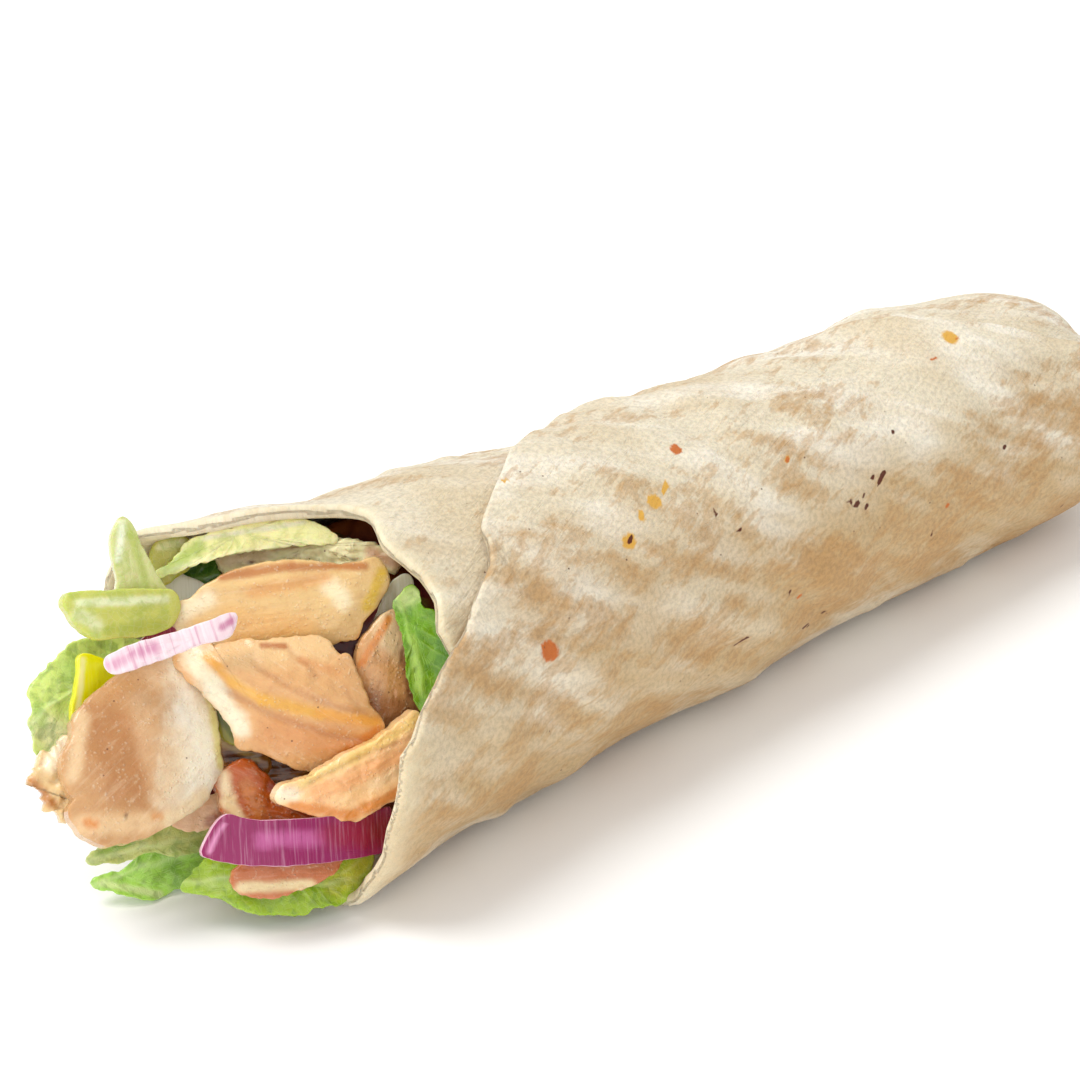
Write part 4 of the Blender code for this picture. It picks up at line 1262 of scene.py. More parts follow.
SLICES = (
    Slice("chicken_front", "chicken_breast_slice", MEAT, "chicken", (-18.6, -3.9, 9.0), (-8, 18), (
        (-14.5, -1.5), (-12.5, 3), (-12, 5.5), (-9.5, 8.5), (-5, 12), (-1.5, 14), (3.5, 16), (6, 16),
        (8, 13), (11, 9.5), (12, 7.5), (12.5, 0), (12.5, -4), (11.5, -6), (9, -9.5), (5.5, -12), (0, -14),
        (-5.5, -15.5), (-9, -15.5), (-12.5, -13), (-14, -10), (-13, -8), (-14, -6)),
        thickness=4.4, colour="CC9A64", curl=(-1.6, -2.2, 0.8),
        relief=Relief(0.55, 0.4, 0.45, 8.0, 0.06, 1.0, 7.0, 40.0, 0.4, 2.6, 0.15, 1.5),
        tints=(
            Tint((-7, 3), (-4, -5), 6.0, "B47A46", 0.85), Tint((2, 12), (6, 14), 3.0, "D8AE80"),
            Tint((-1, 8), (1, -9), 2.2, "DDB588", 0.6), Tint((-13.5, -4), (-11, 6), 1.3, "EBCB9C", 0.8),
            Tint((10.8, 10), (8.5, -9), 6.6, "F3EBD2", 0.95), Tint((8, 9.4), (5.5, 1), 2.0, "F8F0DC", 0.7),
            Tint((4.5, 1), (2.5, -9), 2.6, "EACFA6", 0.6),
            Tint((11.8, 8.5), (12.6, -4), 0.9, "DBD384", 0.9),
            Tint((-12.5, -12.5), (3, -13), 1.9, "E8C392"), Tint((3, -13), (9, -9), 1.6, "EBD3A6"),
            Tint((-11.5, -12), (-10.5, -12.5), 0.8, "DC8A3A"),
            Tint((0, -12), (1, -12), 0.7, "DE9446", 0.7),
            Tint((-5.2, -11.6), (-5, -11.6), 0.35, "5E3418")),
        grooves=(Groove((7.5, 11), (9.0, -9), 0.04, 0.9, 0.8), Groove((-2, 12), (3, -11), -0.4, 4.0))),
    Slice("chicken_ragged_end", "chicken_torn_end", MEAT, "chicken_pale", (-34.6, -7.4, 8.0), (0, 15), (
        (-4.5, -0.5), (-3, 0.5), (-2.5, 3), (-0.5, 4.2), (1, 5.2), (2.5, 6.5), (4, 7), (5, 4.5), (5.5, 1),
        (5, -3), (3.5, -4.5), (2, -4.7), (2.4, -5.6), (1.3, -7.6), (0, -6.5), (-1.5, -5.3), (-2, -3.8),
        (-3.2, -1.8)),
        thickness=3.6, colour="EBC98E", curl=(-0.5, -0.6, 0), rings=22, relief=TORN_RELIEF,
        tints=(
            Tint((-1, 2), (2, 5), 1.6, "F8EBCB"), Tint((-4, -1), (-1, -5), 1.0, "C07A38"),
            Tint((1, 1), (3, -2), 1.5, "F4DDB0"), Tint((1.2, -6.8), (1.4, -7), 0.5, "6E4220"))),
    Slice("chicken_top_slice", "chicken_thigh_slice", MEAT, "chicken_gold", (4.8, 19.9, 3.0), (6, 0), (
        (-19.5, -1.5), (-17.5, 0.5), (-15, 1.4), (-12, 3.5), (-9, 5), (-5, 6.3), (0, 7), (4.5, 7),
        (11.5, 6), (14, 6), (17, 6.6), (18.7, 6.2), (20, 3.5), (19.5, 2), (17.5, -1), (15, -3.5), (14, -6),
        (12, -6.8), (4, -8), (-7, -8), (-14.5, -7.5), (-17.5, -5.5), (-19, -2.6)),
        thickness=4.0, colour="E6C080", curl=(-1.5, -0.8, 0),
        relief=Relief(0.45, 0.35, 0.35, 8.0, 0.06, 0.9, 7.0, 5.0, 0.30, 2.4, 0.12, 1.4),
        tints=(
            # The orange-brown lines along the top edge are browning deepened by painted shade under the shred
            Tint((-9, 5.4), (3, 6.6), 0.9, "B8702E"), Tint((3, 6.4), (16, 5.8), 0.8, "B8702E"),
            Tint((19, 4.5), (16, -1.5), 1.1, "E0B82E"), Tint((-18, -1.4), (-12, 1.6), 1.8, "F5E6C2"),
            # The pale spot from (9.5, 2.8) to (12, 0) is a painted highlight
            Tint((-17.5, -4), (-10, -6), 1.8, "F3E0B4"), Tint((9.5, 2.8), (12, 0), 1.8, "F9E8BE"),
            Tint((-4, 2.5), (9, 4.2), 1.3, "DB9A50", 0.7), Tint((-8, -2), (4, -4), 2.4, "E8B66C", 0.7)),
        grooves=(Groove((-12, 2.5), (8, 4.2), 0.10, 0.6, 0.6),)),
    Slice("chicken_fold", "chicken_folded_slice", MEAT, "chicken_gold", (5.9, 2.0, 8.5), (0, 0), (
        (-19, 9.3), (-15, 12), (-13.5, 12), (-12.5, 10.6), (-8.5, 11.2), (-6, 11.4), (-4, 11), (2.7, 11.4),
        (6.5, 11), (9, 8), (10.8, 7.5), (12.2, 4), (13.7, -0.7), (16, -4.3), (14.5, -6.8), (9.3, -9.6),
        (4.5, -11.4), (-0.2, -10.2), (-5, -7.5), (-8.5, -6.5), (-9.5, -3.5), (-11.7, 0), (-14.2, 3),
        (-17, 6)),
        thickness=4.6, colour="DEAA70", curl=(-3.6, -2.2, 0),
        relief=Relief(0.5, 0.35, 0.4, 6.0, 0.06, 0.9, 6.0, -35.0, 0.30, 2.0, 0.15, 1.3),
        tints=(
            Tint((-9.5, 9.8), (6, 9.8), 3.2, "EBC48C"), Tint((-16, 9.5), (-12.6, 3.4), 2.0, "F8F0D2"),
            Tint((-12.6, 3.4), (-8.3, -3.5), 1.8, "F8F0D2"), Tint((-3, -4.5), (9, -7.5), 3.0, "D8985C"),
            Tint((-13.5, 9.3), (-9.4, 4.6), 0.9, "E8A94A"), Tint((-9.4, 4.6), (-4.4, 1.1), 1.0, "EDB450"),
            Tint((-4.4, 1.1), (5.4, -1.9), 1.1, "E8AE42"), Tint((5.4, -1.9), (15, -3.9), 1.1, "EBA844"),
            Tint((9, -9), (15, -5.5), 0.9, "D07C2C"), Tint((-4, 10.6), (0, 10.2), 0.5, "B46A34"),
            Tint((2.5, 7.7), (9, 5), 0.8, "DB9A5C", 0.7)),
        grooves=(
            Groove((-13, 8), (15, -3), -1.6, 2.6, 0.0), Groove((-5.3, 7.4), (13.7, -2.4), 0.30, 0.6, 1.4),
            Groove((-0.1, 10.6), (5.4, 4.3), 0.25, 0.5), Groove((9.5, 2.7), (12.7, -2.0), 0.2, 0.5),
            Groove((-11, 3.5), (13, -7), 0.3, 0.7, 1.4))),
    Slice("chicken_right_slice", "chicken_seared_slice", SEARED, "chicken_brown", (23.8, 6.7, 3.0),
          (0, 10), (
        (1.8, 10.6), (-1, 9), (-3.6, 6.2), (-4.8, 4), (-5.2, 0), (-4.6, -4.6), (-3.8, -6.5), (-2, -9.5),
        (0.8, -9.6), (2.7, -9), (5, -7), (4.7, -4.8), (4.3, 0.5), (4.1, 6), (3.2, 9)),
        thickness=3.6, colour="D4A068", curl=(-0.8, -1.2, 0),
        relief=Relief(0.45, 0.35, 0.35, 5.0, 0.06, 0.8, 6.0, 75.0, 0.25, 2.0, 0.25, 1.0),
        tints=(
            Tint((0, 9), (1, 4.5), 3.0, "E2C394"), Tint((0.6, 9.4), (-4.9, 1.7), 0.7, "DB8632"),
            Tint((-3.5, -5.5), (3, -8), 3.2, "945A2E", 0.8), Tint((-1, 2), (1, -2), 2.0, "CC9458"),
            Tint((2.5, 3), (3.5, -4), 0.9, "94562A", 0.7))),
    Slice("chicken_strip", "chicken_strip_slice", MEAT, "chicken_gold", (16.2, -9.5, 11.0), (4, 16), (
        (-13.6, -4), (-12, -2.2), (-8.3, -1.6), (-4.7, 0.3), (-0.2, 2.4), (4.6, 4.3), (9.9, 7.5),
        (12, 8.5), (13.2, 7), (13, 3.8), (11.5, -0.5), (8.7, -4.7), (5.8, -6.2), (1.2, -8.5), (-0.7, -8.8),
        (-5.3, -8), (-9.2, -6.5), (-12.4, -5.2)),
        thickness=4.0, colour="FFD096", curl=(-0.8, -1.0, 0),
        relief=Relief(0.5, 0.4, 0.45, 4.0, 0.12, 0.9, 5.0, 25.0, 0.3, 1.6, 0.3, 1.2),
        tints=(
            Tint((-9.4, -2.2), (0, 1.8), 0.9, "F6D688"), Tint((0, 1.8), (12, 7.6), 1.1, "F4CF7C"),
            Tint((-7, -4), (9, 1.6), 1.7, "F2B074", 0.8), Tint((-11, -5.6), (-1, -8.2), 1.1, "E08A36"),
            Tint((-1, -8.2), (8, -4.6), 1.1, "E29040"), Tint((-13, -3.6), (-11, -3.8), 1.3, "FCEFD2"),
            Tint((3, -3), (8, -1), 1.2, "F7D6A6", 0.8)),
        grooves=(Groove((-10, -3.2), (11, 4.5), 0.25, 0.5, -0.8),)),
    Slice("chicken_chunk", "chicken_chunk_cut", MEAT, "chicken_gold", (0.6, -13.6, 3.0), (0, 8), (
        (-8, 3.5), (-5, 5.6), (-2.2, 5.9), (0.2, 3.7), (3, 0.3), (5.2, -1.2), (8.5, -3.4), (9, -5.5),
        (6.3, -6.7), (1, -6.5), (-4.2, -5.8), (-6.5, -3), (-7.3, -1), (-7, 0.5)),
        thickness=4.6, colour="B8560F", curl=(-0.6, -0.5, 0), rings=26,
        relief=Relief(0.45, 0.35, 0.4, 3.5, 0.10, 0.9, 5.0, -30.0, 0.45, 1.5, 0.35, 1.2),
        tints=(
            Tint((-6.9, 4), (-6.2, -0.2), 1.3, "F3DCAE"), Tint((-6.2, -0.2), (-4, -5), 1.3, "F0D29C"),
            Tint((1.8, 1.6), (8.2, -4.1), 1.3, "8E3216"), Tint((-3, 2), (-1, -3), 1.5, "C67A34", 0.7))),
    Slice("chicken_small", "chicken_offcut", MEAT, "chicken", (-9.6, -16.1, -1.0), (0, 0), (
        (-5.5, -1.5), (-2.5, 1.5), (1.5, 3), (4.5, 2), (4.4, -0.5), (2.5, -2), (-1.5, -2.5)),
        thickness=3.0, colour="DDB48C", rings=18,
        tints=(Tint((1, -1.5), (4, 0), 1.2, "9A5A3A"),)),
    Slice("chicken_under_onion", "chicken_pink_offcut", MEAT, "chicken_pale", (4.9, -27.1, 8.0), (0, 8), (
        (-10, -1), (-9.5, 1), (-7, 2.8), (-5, 3.3), (1.5, 3.3), (8.5, 3), (9.2, 2.1), (7.2, 0), (3, -2.1),
        (-2.2, -3.2), (-5.3, -3.2), (-8.5, -2.7)),
        thickness=2.4, colour="C87442", curl=(-1.2, 0, 0), rings=20,
        tints=(Tint((-7.1, 2.4), (9, 2.5), 0.9, "A8302E"), Tint((-9, -1.8), (3, -2), 1.0, "F2E0AA"))),
    Slice("chicken_top_shred", "chicken_shred", MEAT, "chicken_pale", (11.0, 27.8, -5.7), (0, -9), (
        (-16.5, 1), (-15, 2.8), (-9, 3.5), (-3.3, 3.9), (0.7, 4), (6, 3.2), (11.5, 1.8), (14.5, 0.4),
        (16, -1.5), (15.5, -2.8), (12.5, -2), (9.8, -1.8), (6.7, -2), (4, -1.9), (0.8, -1.3), (-2, -0.8),
        (-5, -0.6), (-7.5, -1.2), (-11.6, -1.5), (-15, -1.2)),
        thickness=3.0, colour="FFF5BC", curl=(-1.5, 0, 0), rings=24,
        relief=Relief(1.0, 0.4, 0.7, 2.8, 0.2, 0.9, 4.0, 5.0, 0.8, 1.4, 0.5, 1.1),
        tints=(
            Tint((-15, 1), (-8, 1.3), 1.6, "F0D4A6"), Tint((11.7, 0.7), (16, -1.8), 1.3, "E2B088"),
            Tint((-12, 2.3), (-11.8, 2.3), 0.4, "7A3A1C"), Tint((-10, 0.3), (-9.8, 0.3), 0.4, "6E3218"),
            Tint((-6, 2.6), (2, 3.2), 0.7, "D9A06A", 0.7))),
    Slice("lettuce_left", "lettuce_leaf_left", LEAF, "lettuce", (-28.9, 6.5, -3.5), (0, 20), (
        (-10, 0.9), (-9, 2.1), (-6.7, 4), (-6, 5), (-3.7, 7.4), (-2, 8.5), (2.6, 9.6), (7.2, 9.6), (11, 8),
        (11, 6), (8.8, 1.5), (5, -3), (1.8, -7), (-1, -9.5), (-4, -10.5), (-8.5, -10.9), (-9.5, -7),
        (-10.4, -5), (-9.6, -3), (-9.8, -1)),
        thickness=0.9, colour="D2E27A", curl=(-2.0, -1.5, 1.0), ruffle=0.7, ruffles=4,
        rib=((-8.8, -3.5), (9.9, 7.9)), rings=24, relief=LEAF_RELIEF,
        tints=(
            Tint((-7.5, -6), (-3, -9), 3.2, "F2F2C2"), Tint((-2, 4), (2, 2), 2.6, "A2C352", 0.7),
            Tint((-9, -2), (-8.5, -5), 1.0, "9CC050", 0.7))),
    Slice("pepper_strip", "pepper_ring", PEPPER, "pepper", (-26.9, 6.7, 1.5), (0, 20), (
        (-2.4, 6), (1.3, 4.7), (4.8, 2.7), (4, 1), (2.3, -0.5), (0.4, -2.1), (-1.6, -3.8), (-3.2, -5.4),
        (-4.4, -5.3), (-4.5, -2.9), (-3.8, 0), (-3.1, 3.3)),
        thickness=2.4, colour="E8E600", curl=(0, -0.8, 0), rings=18, relief=CRISP_RELIEF,
        tints=(
            Tint((-2.6, 5.5), (-4.3, -4.8), 0.5, "F3F0A4"), Tint((1, 3), (-2, -3), 1.2, "C9C600", 0.6))),
    Slice("stem_flat", "lettuce_rib_flat", RIB, "lettuce_pale", (-22.8, 19.7, 9.0), (0, 25), (
        (-9, 1.5), (-8.7, 2.6), (-7.5, 3.3), (0, 3.5), (6.5, 3.4), (10, 3.2), (11.5, 1.5), (11, -1),
        (9, -2.8), (5.2, -3.8), (1.5, -3.9), (-3, -4.1), (-5, -3.5), (-7.4, -1.3)),
        thickness=3.0, colour="CDCF66", curl=(-0.8, 0, 0), rings=20, relief=RIB_RELIEF,
        tints=(
            # The pale line from (-7, 1.8) to (9, 2) is a painted highlight
            Tint((-7, 1.8), (9, 2), 0.8, "EEF1C8"), Tint((-7, 0), (-4, -2), 1.3, "E3E6B4"),
            Tint((-2, -3), (8, -2.4), 0.9, "B4BC48", 0.7))),
    Slice("stem_upright", "lettuce_rib_upright", RIB, "lettuce_pale", (-18.6, 28.9, 4.5), (0, 15), (
        (-2.4, 7.2), (-3.3, 6.4), (-4, 4.8), (-4.5, 2), (-4.2, -0.5), (-3.5, -3.5), (-3.2, -6), (3.8, -6),
        (3.6, -4.7), (2.3, -2.6), (1.1, 0), (-0.4, 3.5), (-1.3, 6)),
        thickness=2.6, colour="D2D292", curl=(0, -0.8, 0), rings=20,
        relief=Relief(0.45, 0.15, 0.2, 5.0, 0.1, 0.9, 12.0, 100.0, 0.2, 2.5, 0.0),
        tints=(
            Tint((-2.6, 6.5), (-3.9, 0), 0.7, "F2F4DA"),
            Tint((-1.4, 4.5), (0.8, -4), 0.8, "B2BF5A", 0.7))),
    Slice("lettuce_top_blade", "lettuce_blade", RIB, "lettuce_pale", (0.9, 29.8, -1.2), (0, 7), (
        (-16.5, -3.5), (-13.2, -1), (-10.6, 1.9), (-6, 3.2), (0, 4.7), (7.4, 5), (12.3, 3.9), (15.5, 1.5),
        (13.6, 0.9), (8.9, 0.9), (2, 0.6), (-4.5, -0.3), (-11.7, -2), (-14, -2.9)),
        thickness=0.9, colour="FFFDB0", curl=(-1.0, 0, 0), ruffle=0.3, ruffles=3,
        rib=((-14, -2.4), (14, 1.8)), rings=20, relief=LEAF_RELIEF,
        tints=(Tint((-15, -2.6), (-9, 1), 1.3, "B2C653"), Tint((-8, 2.6), (10, 4.6), 0.5, "F6F5CE"))),
    Slice("lettuce_stub", "lettuce_stalk_stub", RIB, "pepper", (-13.4, 28.9, -3.4), (0, 10), (
        (-3.3, 0.8), (-2.3, 2.8), (-0.8, 4), (1.5, 4.2), (3.3, 2.8), (3.3, -0.5), (1.5, -2), (-1.5, -4),
        (-3, -3.5)),
        thickness=2.6, colour="C9C256", rings=16, relief=RIB_RELIEF,
        tints=(Tint((-2, 2.5), (2, 3.2), 0.7, "EEE9B4"),)),
    Slice("lettuce_dark_leaf", "lettuce_dark_fold", GLOSSY, "lettuce_dark", (-9.1, 24.8, -9.5), (0, 0), (
        (-5.5, 2), (-2, 4), (1.4, 4.6), (3.2, 3.4), (3.8, 0), (2.2, -2.4), (-2, -4), (-5, -3.5),
        (-6.5, -1.5)),
        thickness=0.9, colour="3C6E18", curl=(0.6, -0.6, 0), ruffle=0.3, ruffles=3, rib=((-6, -1), (4, 2)),
        rings=16, relief=LEAF_RELIEF),
    Slice("lettuce_right", "lettuce_leaf_right", GLOSSY, "lettuce", (29.9, 9.2, 9.0), (0, 0), (
        (-4.3, 9), (-2.4, 11.4), (-1.2, 12.2), (-0.5, 10), (0.4, 8), (1.7, 7.5), (3, 6), (4, 1), (4.6, -2),
        (4.2, -4), (3, -7), (0.5, -11), (-0.7, -9.9), (-2.2, -6), (-2.8, -2), (-3, 2), (-3.4, 5)),
        thickness=0.9, colour="74A418", curl=(1.0, -1.6, 0), ruffle=0.3, ruffles=3,
        rib=((-2.9, 8.8), (0.5, -10)), rings=20, relief=LEAF_RELIEF,
        tints=(
            Tint((-3.4, 9.4), (-1.2, 10.8), 1.5, "C6D488"), Tint((-1.9, 3), (-1.2, -6), 0.9, "A3C64C"),
            Tint((3.4, 4.5), (2.6, -6), 1.0, "54861A", 0.8))),
    # A dark red layer set where the gap between slices lies in shade: painted shade
    Slice("onion_dark_layer", "onion_shaded_layer", SHADED_ONION, "onion_dark", (18.1, 12.1, -4.5), (0, 0), (
        (-7.5, 2), (0, 3.5), (5, 8), (7.6, 7), (6.5, 2.5), (4, -4), (-0.5, -5), (-5, -2.5)),
        thickness=1.6, colour="6A120C", curl=(0, -1.0, 0), rings=14, relief=CRISP_RELIEF),
    Slice("onion_pale_sliver", "onion_pale_cut", WHITE_ONION, "onion_white", (26.0, 19.6, -2.0), (0, 0), (
        (-3.5, -4.5), (-2, -0.5), (0.5, 3.3), (2.6, 4), (3, 2), (1, -1.5), (-1.5, -4)),
        thickness=1.4, colour="E2DFBE", rings=14, relief=CRISP_RELIEF),
    Slice("pickle_left", "pickle_slice_left", PICKLE, "pickle", (-2.9, -6.2, -2.0), (0, 0), (
        (-6, 4.5), (-4, 4), (-1.5, 3), (2, 1), (5, -1.5), (3.5, -4), (0, -2.5), (-4, -0.5)),
        thickness=2.6, colour="A8702A", rings=16, relief=RIB_RELIEF,
        tints=(Tint((-5, 3.5), (3, -1), 0.7, "E0C27A"), Tint((-2, 0), (3, -2.6), 0.9, "6E3A14"))),
    Slice("pickle_right", "pickle_slice_right", PICKLE, "pickle", (4.6, -8.7, -6.0), (0, 0), (
        (-9.5, 7.5), (-3.5, 5), (1.5, 1.5), (8, -2), (7, -5), (1, -5), (-4, -1.5), (-9, 3.5)),
        thickness=2.8, colour="9C5E1E", rings=16, relief=RIB_RELIEF,
        tints=(Tint((-6, 4), (6, -3), 1.2, "7E4214", 0.7),)),
    Slice("pickle_edge", "pickle_rind", PEPPER, "pepper", (-5.5, 0.8, 1.5), (0, 0), (
        (-3.5, 5.5), (-1.5, 3.5), (1, 0), (3.5, -3.5), (2.5, -5), (0, -3.5), (-2, 0.5)),
        thickness=1.8, colour="B2B040", rings=14, relief=CRISP_RELIEF,
        tints=(Tint((-2, 2), (2, -4), 0.6, "7E8A26"),)),
    Slice("onion_red_tip", "onion_tip", ONION, "onion_dark", (-16.2, 14.9, 4.2), (0, 20), (
        (-3, -1), (-1, 0.8), (2.5, 1.7), (3, 0), (1, -1.2), (-1.5, -1.7)),
        thickness=1.2, colour="8A1430", rings=12, relief=CRISP_RELIEF),
    Slice("onion_white_layer", "onion_white_cut", WHITE_ONION, "onion_white", (-13.3, 25.0, -6.8), (0, 0), (
        (-4.5, 3.6), (-2.5, 4), (-0.5, 3), (2, 1), (5.5, -1), (5, -4), (-1, -5), (-4.5, -2)),
        thickness=1.2, colour="EFEBDA", rings=14, relief=CRISP_RELIEF),
    Slice("onion_pink_strip", "onion_pink_cut", PALE_ONION, "onion_pink", (-13.6, 13.6, 14.5), (0, 0), (
        (-10.7, -2.1), (-8.2, -0.8), (-3.7, 0.5), (1, 1.5), (6, 2.8), (10.7, 4.3), (11, 3.3), (9.7, 0.9),
        (5, 0), (0.2, -1.6), (-4.2, -2.9), (-7.6, -3.8), (-10, -4)),
        thickness=1.6, colour="EED6DC", curl=(-1.2, 0, 0), rings=18,
        relief=Relief(0.4, 0.1, 0.2, 3.0, 0.14, 0.9, 5.0, 105.0, 0.15, 2.0, 0.0),
        tints=(
            Tint((-5.5, -1.2), (-2.5, -0.6), 1.1, "CE8CAA"), Tint((9, 2.4), (10.6, 3.4), 0.7, "C5799C"),
            Tint((-10, -3), (-8, -2.4), 1.0, "D49AB4"))),
    Slice("onion_band", "onion_band_cut", ONION, "onion_red", (6.9, -21.2, 13.0), (0, 14), (
        (-16.5, -0.8), (-15, 2.2), (-13.5, 4.3), (-12.3, 4.8), (-9.4, 3.8), (-4, 3.2), (3.4, 3.1),
        (10, 3.3), (15.5, 3.8), (16.6, 3.4), (16.3, -2), (15, -2.9), (8.4, -3.4), (1.2, -3.7),
        (-6.7, -3.4), (-13, -2.4), (-15.4, -1.5)),
        thickness=1.9, colour="8E1456", curl=(-3.5, 0.5, 0), rings=20, relief=CRISP_RELIEF,
        tints=(
            # The lighter violet stretch from (-7, 0.6) to (3, 0) is a painted highlight
            Tint((-7, 0.6), (3, 0), 1.5, "C25E98", 0.8), Tint((12, 0.6), (16.4, 0.4), 3.4, "86001E", 1.0),
            Tint((5, 0.5), (10, 0.5), 2.4, "96103E", 0.8),
            Tint((-15.8, -0.8), (-13.4, 3.6), 0.5, "DC8FB8"))),
    Slice("lettuce_bottom", "lettuce_leaf_bottom", LEAF, "lettuce", (4.5, -29.3, 3.0), (-12, 10), (
        (-18.3, 1), (-17, 2.8), (-15, 4.5), (-13, 5.6), (-8.5, 6.4), (2, 6.4), (10, 6), (14.5, 5),
        (15, 2.5), (13, 0), (11, -2.2), (8.4, -3.6), (3.5, -4.4), (1.3, -5), (-4, -4.5), (-7.4, -3.8),
        (-9.4, -2.7), (-13.7, -0.4)),
        thickness=0.9, colour="A4C628", curl=(-1.5, -0.6, 0), ruffle=0.5, ruffles=5,
        rib=((-15.6, 2.1), (12, -0.5)), rings=24, relief=LEAF_RELIEF,
        tints=(
            Tint((-12, 1), (-4, -2), 1.8, "86A834", 0.7), Tint((8, -1), (14, 3), 2.0, "D0D03C"),
            Tint((-14, 1), (-10, 0), 1.2, "B0CC52"))),
    Slice("lettuce_curled", "lettuce_leaf_curled", LEAF, "lettuce", (-19.7, -25.2, -9.0), (0, 12), (
        (-10.4, -2.2), (-9.6, -1.5), (-7.5, -0.8), (-6, -1), (-4.6, -0.2), (-1.8, 1.9), (-0.8, 3.4),
        (2, 5), (5.5, 6), (10, 6.5), (14, 6.3), (14.5, 4), (11.5, 0.5), (9.4, -1.5), (7.8, -2.8), (5, -4),
        (2.5, -4.4), (1, -5.2), (-1, -5.4), (-4, -4.6), (-6, -3.8), (-8.5, -3)),
        thickness=0.9, colour="AEDC5A", curl=(-1.0, 2.0, 0), ruffle=0.5, ruffles=4,
        rib=((-9.5, -2.2), (12, 3.5)), rings=24, relief=LEAF_RELIEF,
        tints=(
            Tint((1.3, 3.6), (9.8, 3.4), 1.1, "5EA02A"), Tint((-9, -2.2), (1, -5), 0.7, "D6E6A0"),
            Tint((3, 0), (5, -3), 1.8, "83B33C", 0.7))),
    Slice("lettuce_pale_blade", "lettuce_blade_low", LEAF, "lettuce_pale", (-19.2, -21.3, -4.0), (0, 18), (
        (-11.4, -1.7), (-8.5, 0.2), (-3, 1.5), (0.7, 2.4), (5.3, 3.2), (9.5, 3.2), (11.2, 1.6), (10.3, -1),
        (4, -1.6), (1.4, -0.9), (-1.3, -0.9), (-3.7, -1.5), (-6, -2.1), (-8.6, -2.1)),
        thickness=0.9, colour="C9D07C", curl=(-1.0, 0, 0), ruffle=0.2, ruffles=3,
        rib=((-10.5, -1.5), (9, 1.5)), rings=18, relief=LEAF_RELIEF,
        tints=(Tint((-10, -0.8), (-4, 1), 0.7, "8EB43E"),)),
)


@dataclass
class Core:
    """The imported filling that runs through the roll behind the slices."""

    finish: PackedFilling = field(default_factory=PackedFilling)
    levels: int = 3
    lump: float = 0.7

    def smoothed(self) -> bpy.types.Mesh:
        """Merges a copy of the solid's mesh and subdivides it.

        Returns:
            The finer mesh.
        """
        bm = bmesh.new()
        bm.from_mesh(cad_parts["filling_core"].data)
        bmesh.ops.remove_doubles(bm, verts=bm.verts[:], dist=0.000002)
        bmesh.ops.join_triangles(bm, faces=bm.faces[:], angle_face_threshold=math.radians(50),
                                 angle_shape_threshold=math.radians(80))
        mesh = bpy.data.meshes.new("filling_rough")
        bm.to_mesh(mesh)
        bm.free()
        item = bpy.data.objects.new("filling_rough", mesh)
        bpy.context.scene.collection.objects.link(item)
        smooth = item.modifiers.new("smooth", "SUBSURF")
        smooth.levels = smooth.render_levels = self.levels
        graph = bpy.context.evaluated_depsgraph_get()
        fine = bpy.data.meshes.new_from_object(item.evaluated_get(graph))
        bpy.data.objects.remove(item)
        return fine

    def build(self) -> bpy.types.Object:
        """Makes the filling, lumpy where it shows at the mouth.

        Returns:
            Its object, in the solid's place.
        """
        fine = self.smoothed()
        bm = bmesh.new()
        bm.from_mesh(fine)
        bpy.data.meshes.remove(fine)
        bm.normal_update()
        normals = {vert: vert.normal.copy() for vert in bm.verts}
        for vert in bm.verts:
            cell = noise.cell(vert.co * 190) - 0.5
            wave = noise.noise(vert.co * 260)
            vert.co += normals[vert] * (self.lump * (wave - 0.6) + 0.25 * cell) * MM
        item = new_object("packed_filling_body", bm, self.finish.material())
        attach(item, "root")
        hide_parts("filling_core")
        return item


@dataclass(frozen=True)
class Lamp:
    """A soft distant light: where it stands, its strength, its spread in degrees and its colour."""

    name: str
    place: tuple[float, float, float]
    strength: float
    spread: float
    colour: tuple[float, float, float] = (1.0, 1.0, 1.0)


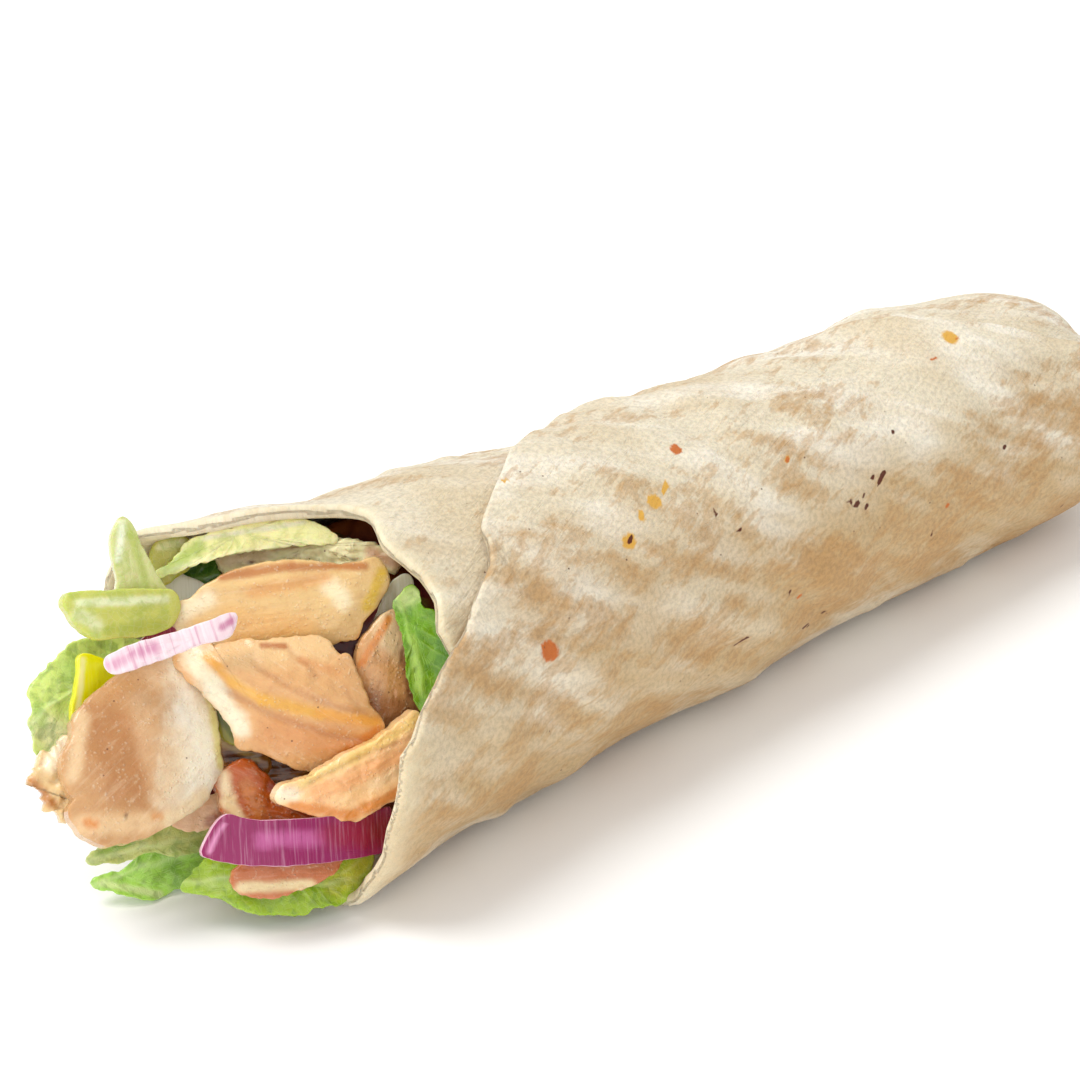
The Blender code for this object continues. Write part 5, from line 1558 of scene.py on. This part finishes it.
@dataclass
class Studio:
    """A white sweep, soft lights and the camera at the photograph's angle."""

    roll: Roll = field(default_factory=Roll)
    camera_place: tuple = (-0.23092, -0.31464, 0.21528)
    yaw: float = 46.3
    pitch: float = 25.0
    lens: float = 83.33
    room: float = 0.72
    floor_size: float = 6.0
    lamps: tuple[Lamp, ...] = (Lamp("key", (-0.42, 0.34, 1.0), 1.78, 34.0, (1.0, 0.99, 0.97)),
                               Lamp("fill", (-0.70, -0.70, 0.50), 0.55, 60.0))

    def build(self) -> None:
        """Makes the floor, the lights and the camera."""
        self.floor()
        self.lights()
        self.camera()

    def floor(self) -> None:
        """Lays a white seamless floor, wide enough to fill every view."""
        bm = bmesh.new()
        bmesh.ops.create_grid(bm, x_segments=1, y_segments=1, size=self.floor_size)
        n = Nodes("white_paper_sweep")
        body = n.add("TexCoord", "Object")
        cloud = n.add("TexNoise", Vector=body, Scale=1 / (400.0 * MM), Detail=1.0, Roughness=0.5)
        paper = n.add("ValToRGB", stops=((0.0, "FDFDFC"), (1.0, "FFFFFF")), Fac=cloud)
        item = new_object("sweep", bm, n.finish(paper, Roughness=0.9, Specular_IOR_Level=0.05))

    def lights(self) -> None:
        """Lights it with a bright soft room, a broad key from behind on the left and a weak front fill."""
        world = bpy.data.worlds.new("soft_room")
        world.use_nodes = True
        world.node_tree.nodes["Background"].inputs[0].default_value = (1.0, 1.0, 1.0, 1.0)
        world.node_tree.nodes["Background"].inputs[1].default_value = self.room
        bpy.context.scene.world = world
        for lamp in self.lamps:
            light = bpy.data.lights.new(lamp.name, "SUN")
            light.energy, light.angle, light.color = lamp.strength, math.radians(lamp.spread), lamp.colour
            item = bpy.data.objects.new(lamp.name, light)
            item.rotation_euler = (-Vector(lamp.place)).to_track_quat("-Z", "Y").to_euler()
            bpy.context.scene.collection.objects.link(item)

    def camera(self) -> None:
        """Sets the camera by its place in the roll's own frame."""
        yaw, pitch = math.radians(self.yaw), math.radians(self.pitch)
        level = math.cos(pitch)
        forward = Vector((math.cos(yaw) * level, math.sin(yaw) * level, -math.sin(pitch)))
        right = forward.cross(Vector((0, 0, 1))).normalized()
        up = right.cross(forward)
        turn = Matrix((right, up, -forward)).transposed().to_4x4()
        lens = bpy.data.cameras.new("camera")
        lens.lens, lens.sensor_width = self.lens, 36.0
        lens.clip_start, lens.clip_end = 0.01, 50.0
        item = bpy.data.objects.new("camera", lens)
        item.matrix_world = self.roll.axis @ Matrix.Translation(self.camera_place) @ turn
        bpy.context.scene.collection.objects.link(item)
        bpy.context.scene.camera = item
        bpy.context.scene.view_settings.view_transform = "Standard"
        bpy.context.scene.view_settings.look = "None"


def main() -> None:
    """Builds the classes in order and reports each piece."""
    logging.basicConfig(level=logging.INFO, format="%(name)s: %(message)s")
    parts = [Tortilla(), Core(), *SLICES]
    for part in parts:
        item = part.build()
        log.info("%s has %d faces", item.name, len(item.data.polygons))
    Studio().build()
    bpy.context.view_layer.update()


if __name__ == "__main__":
    main()
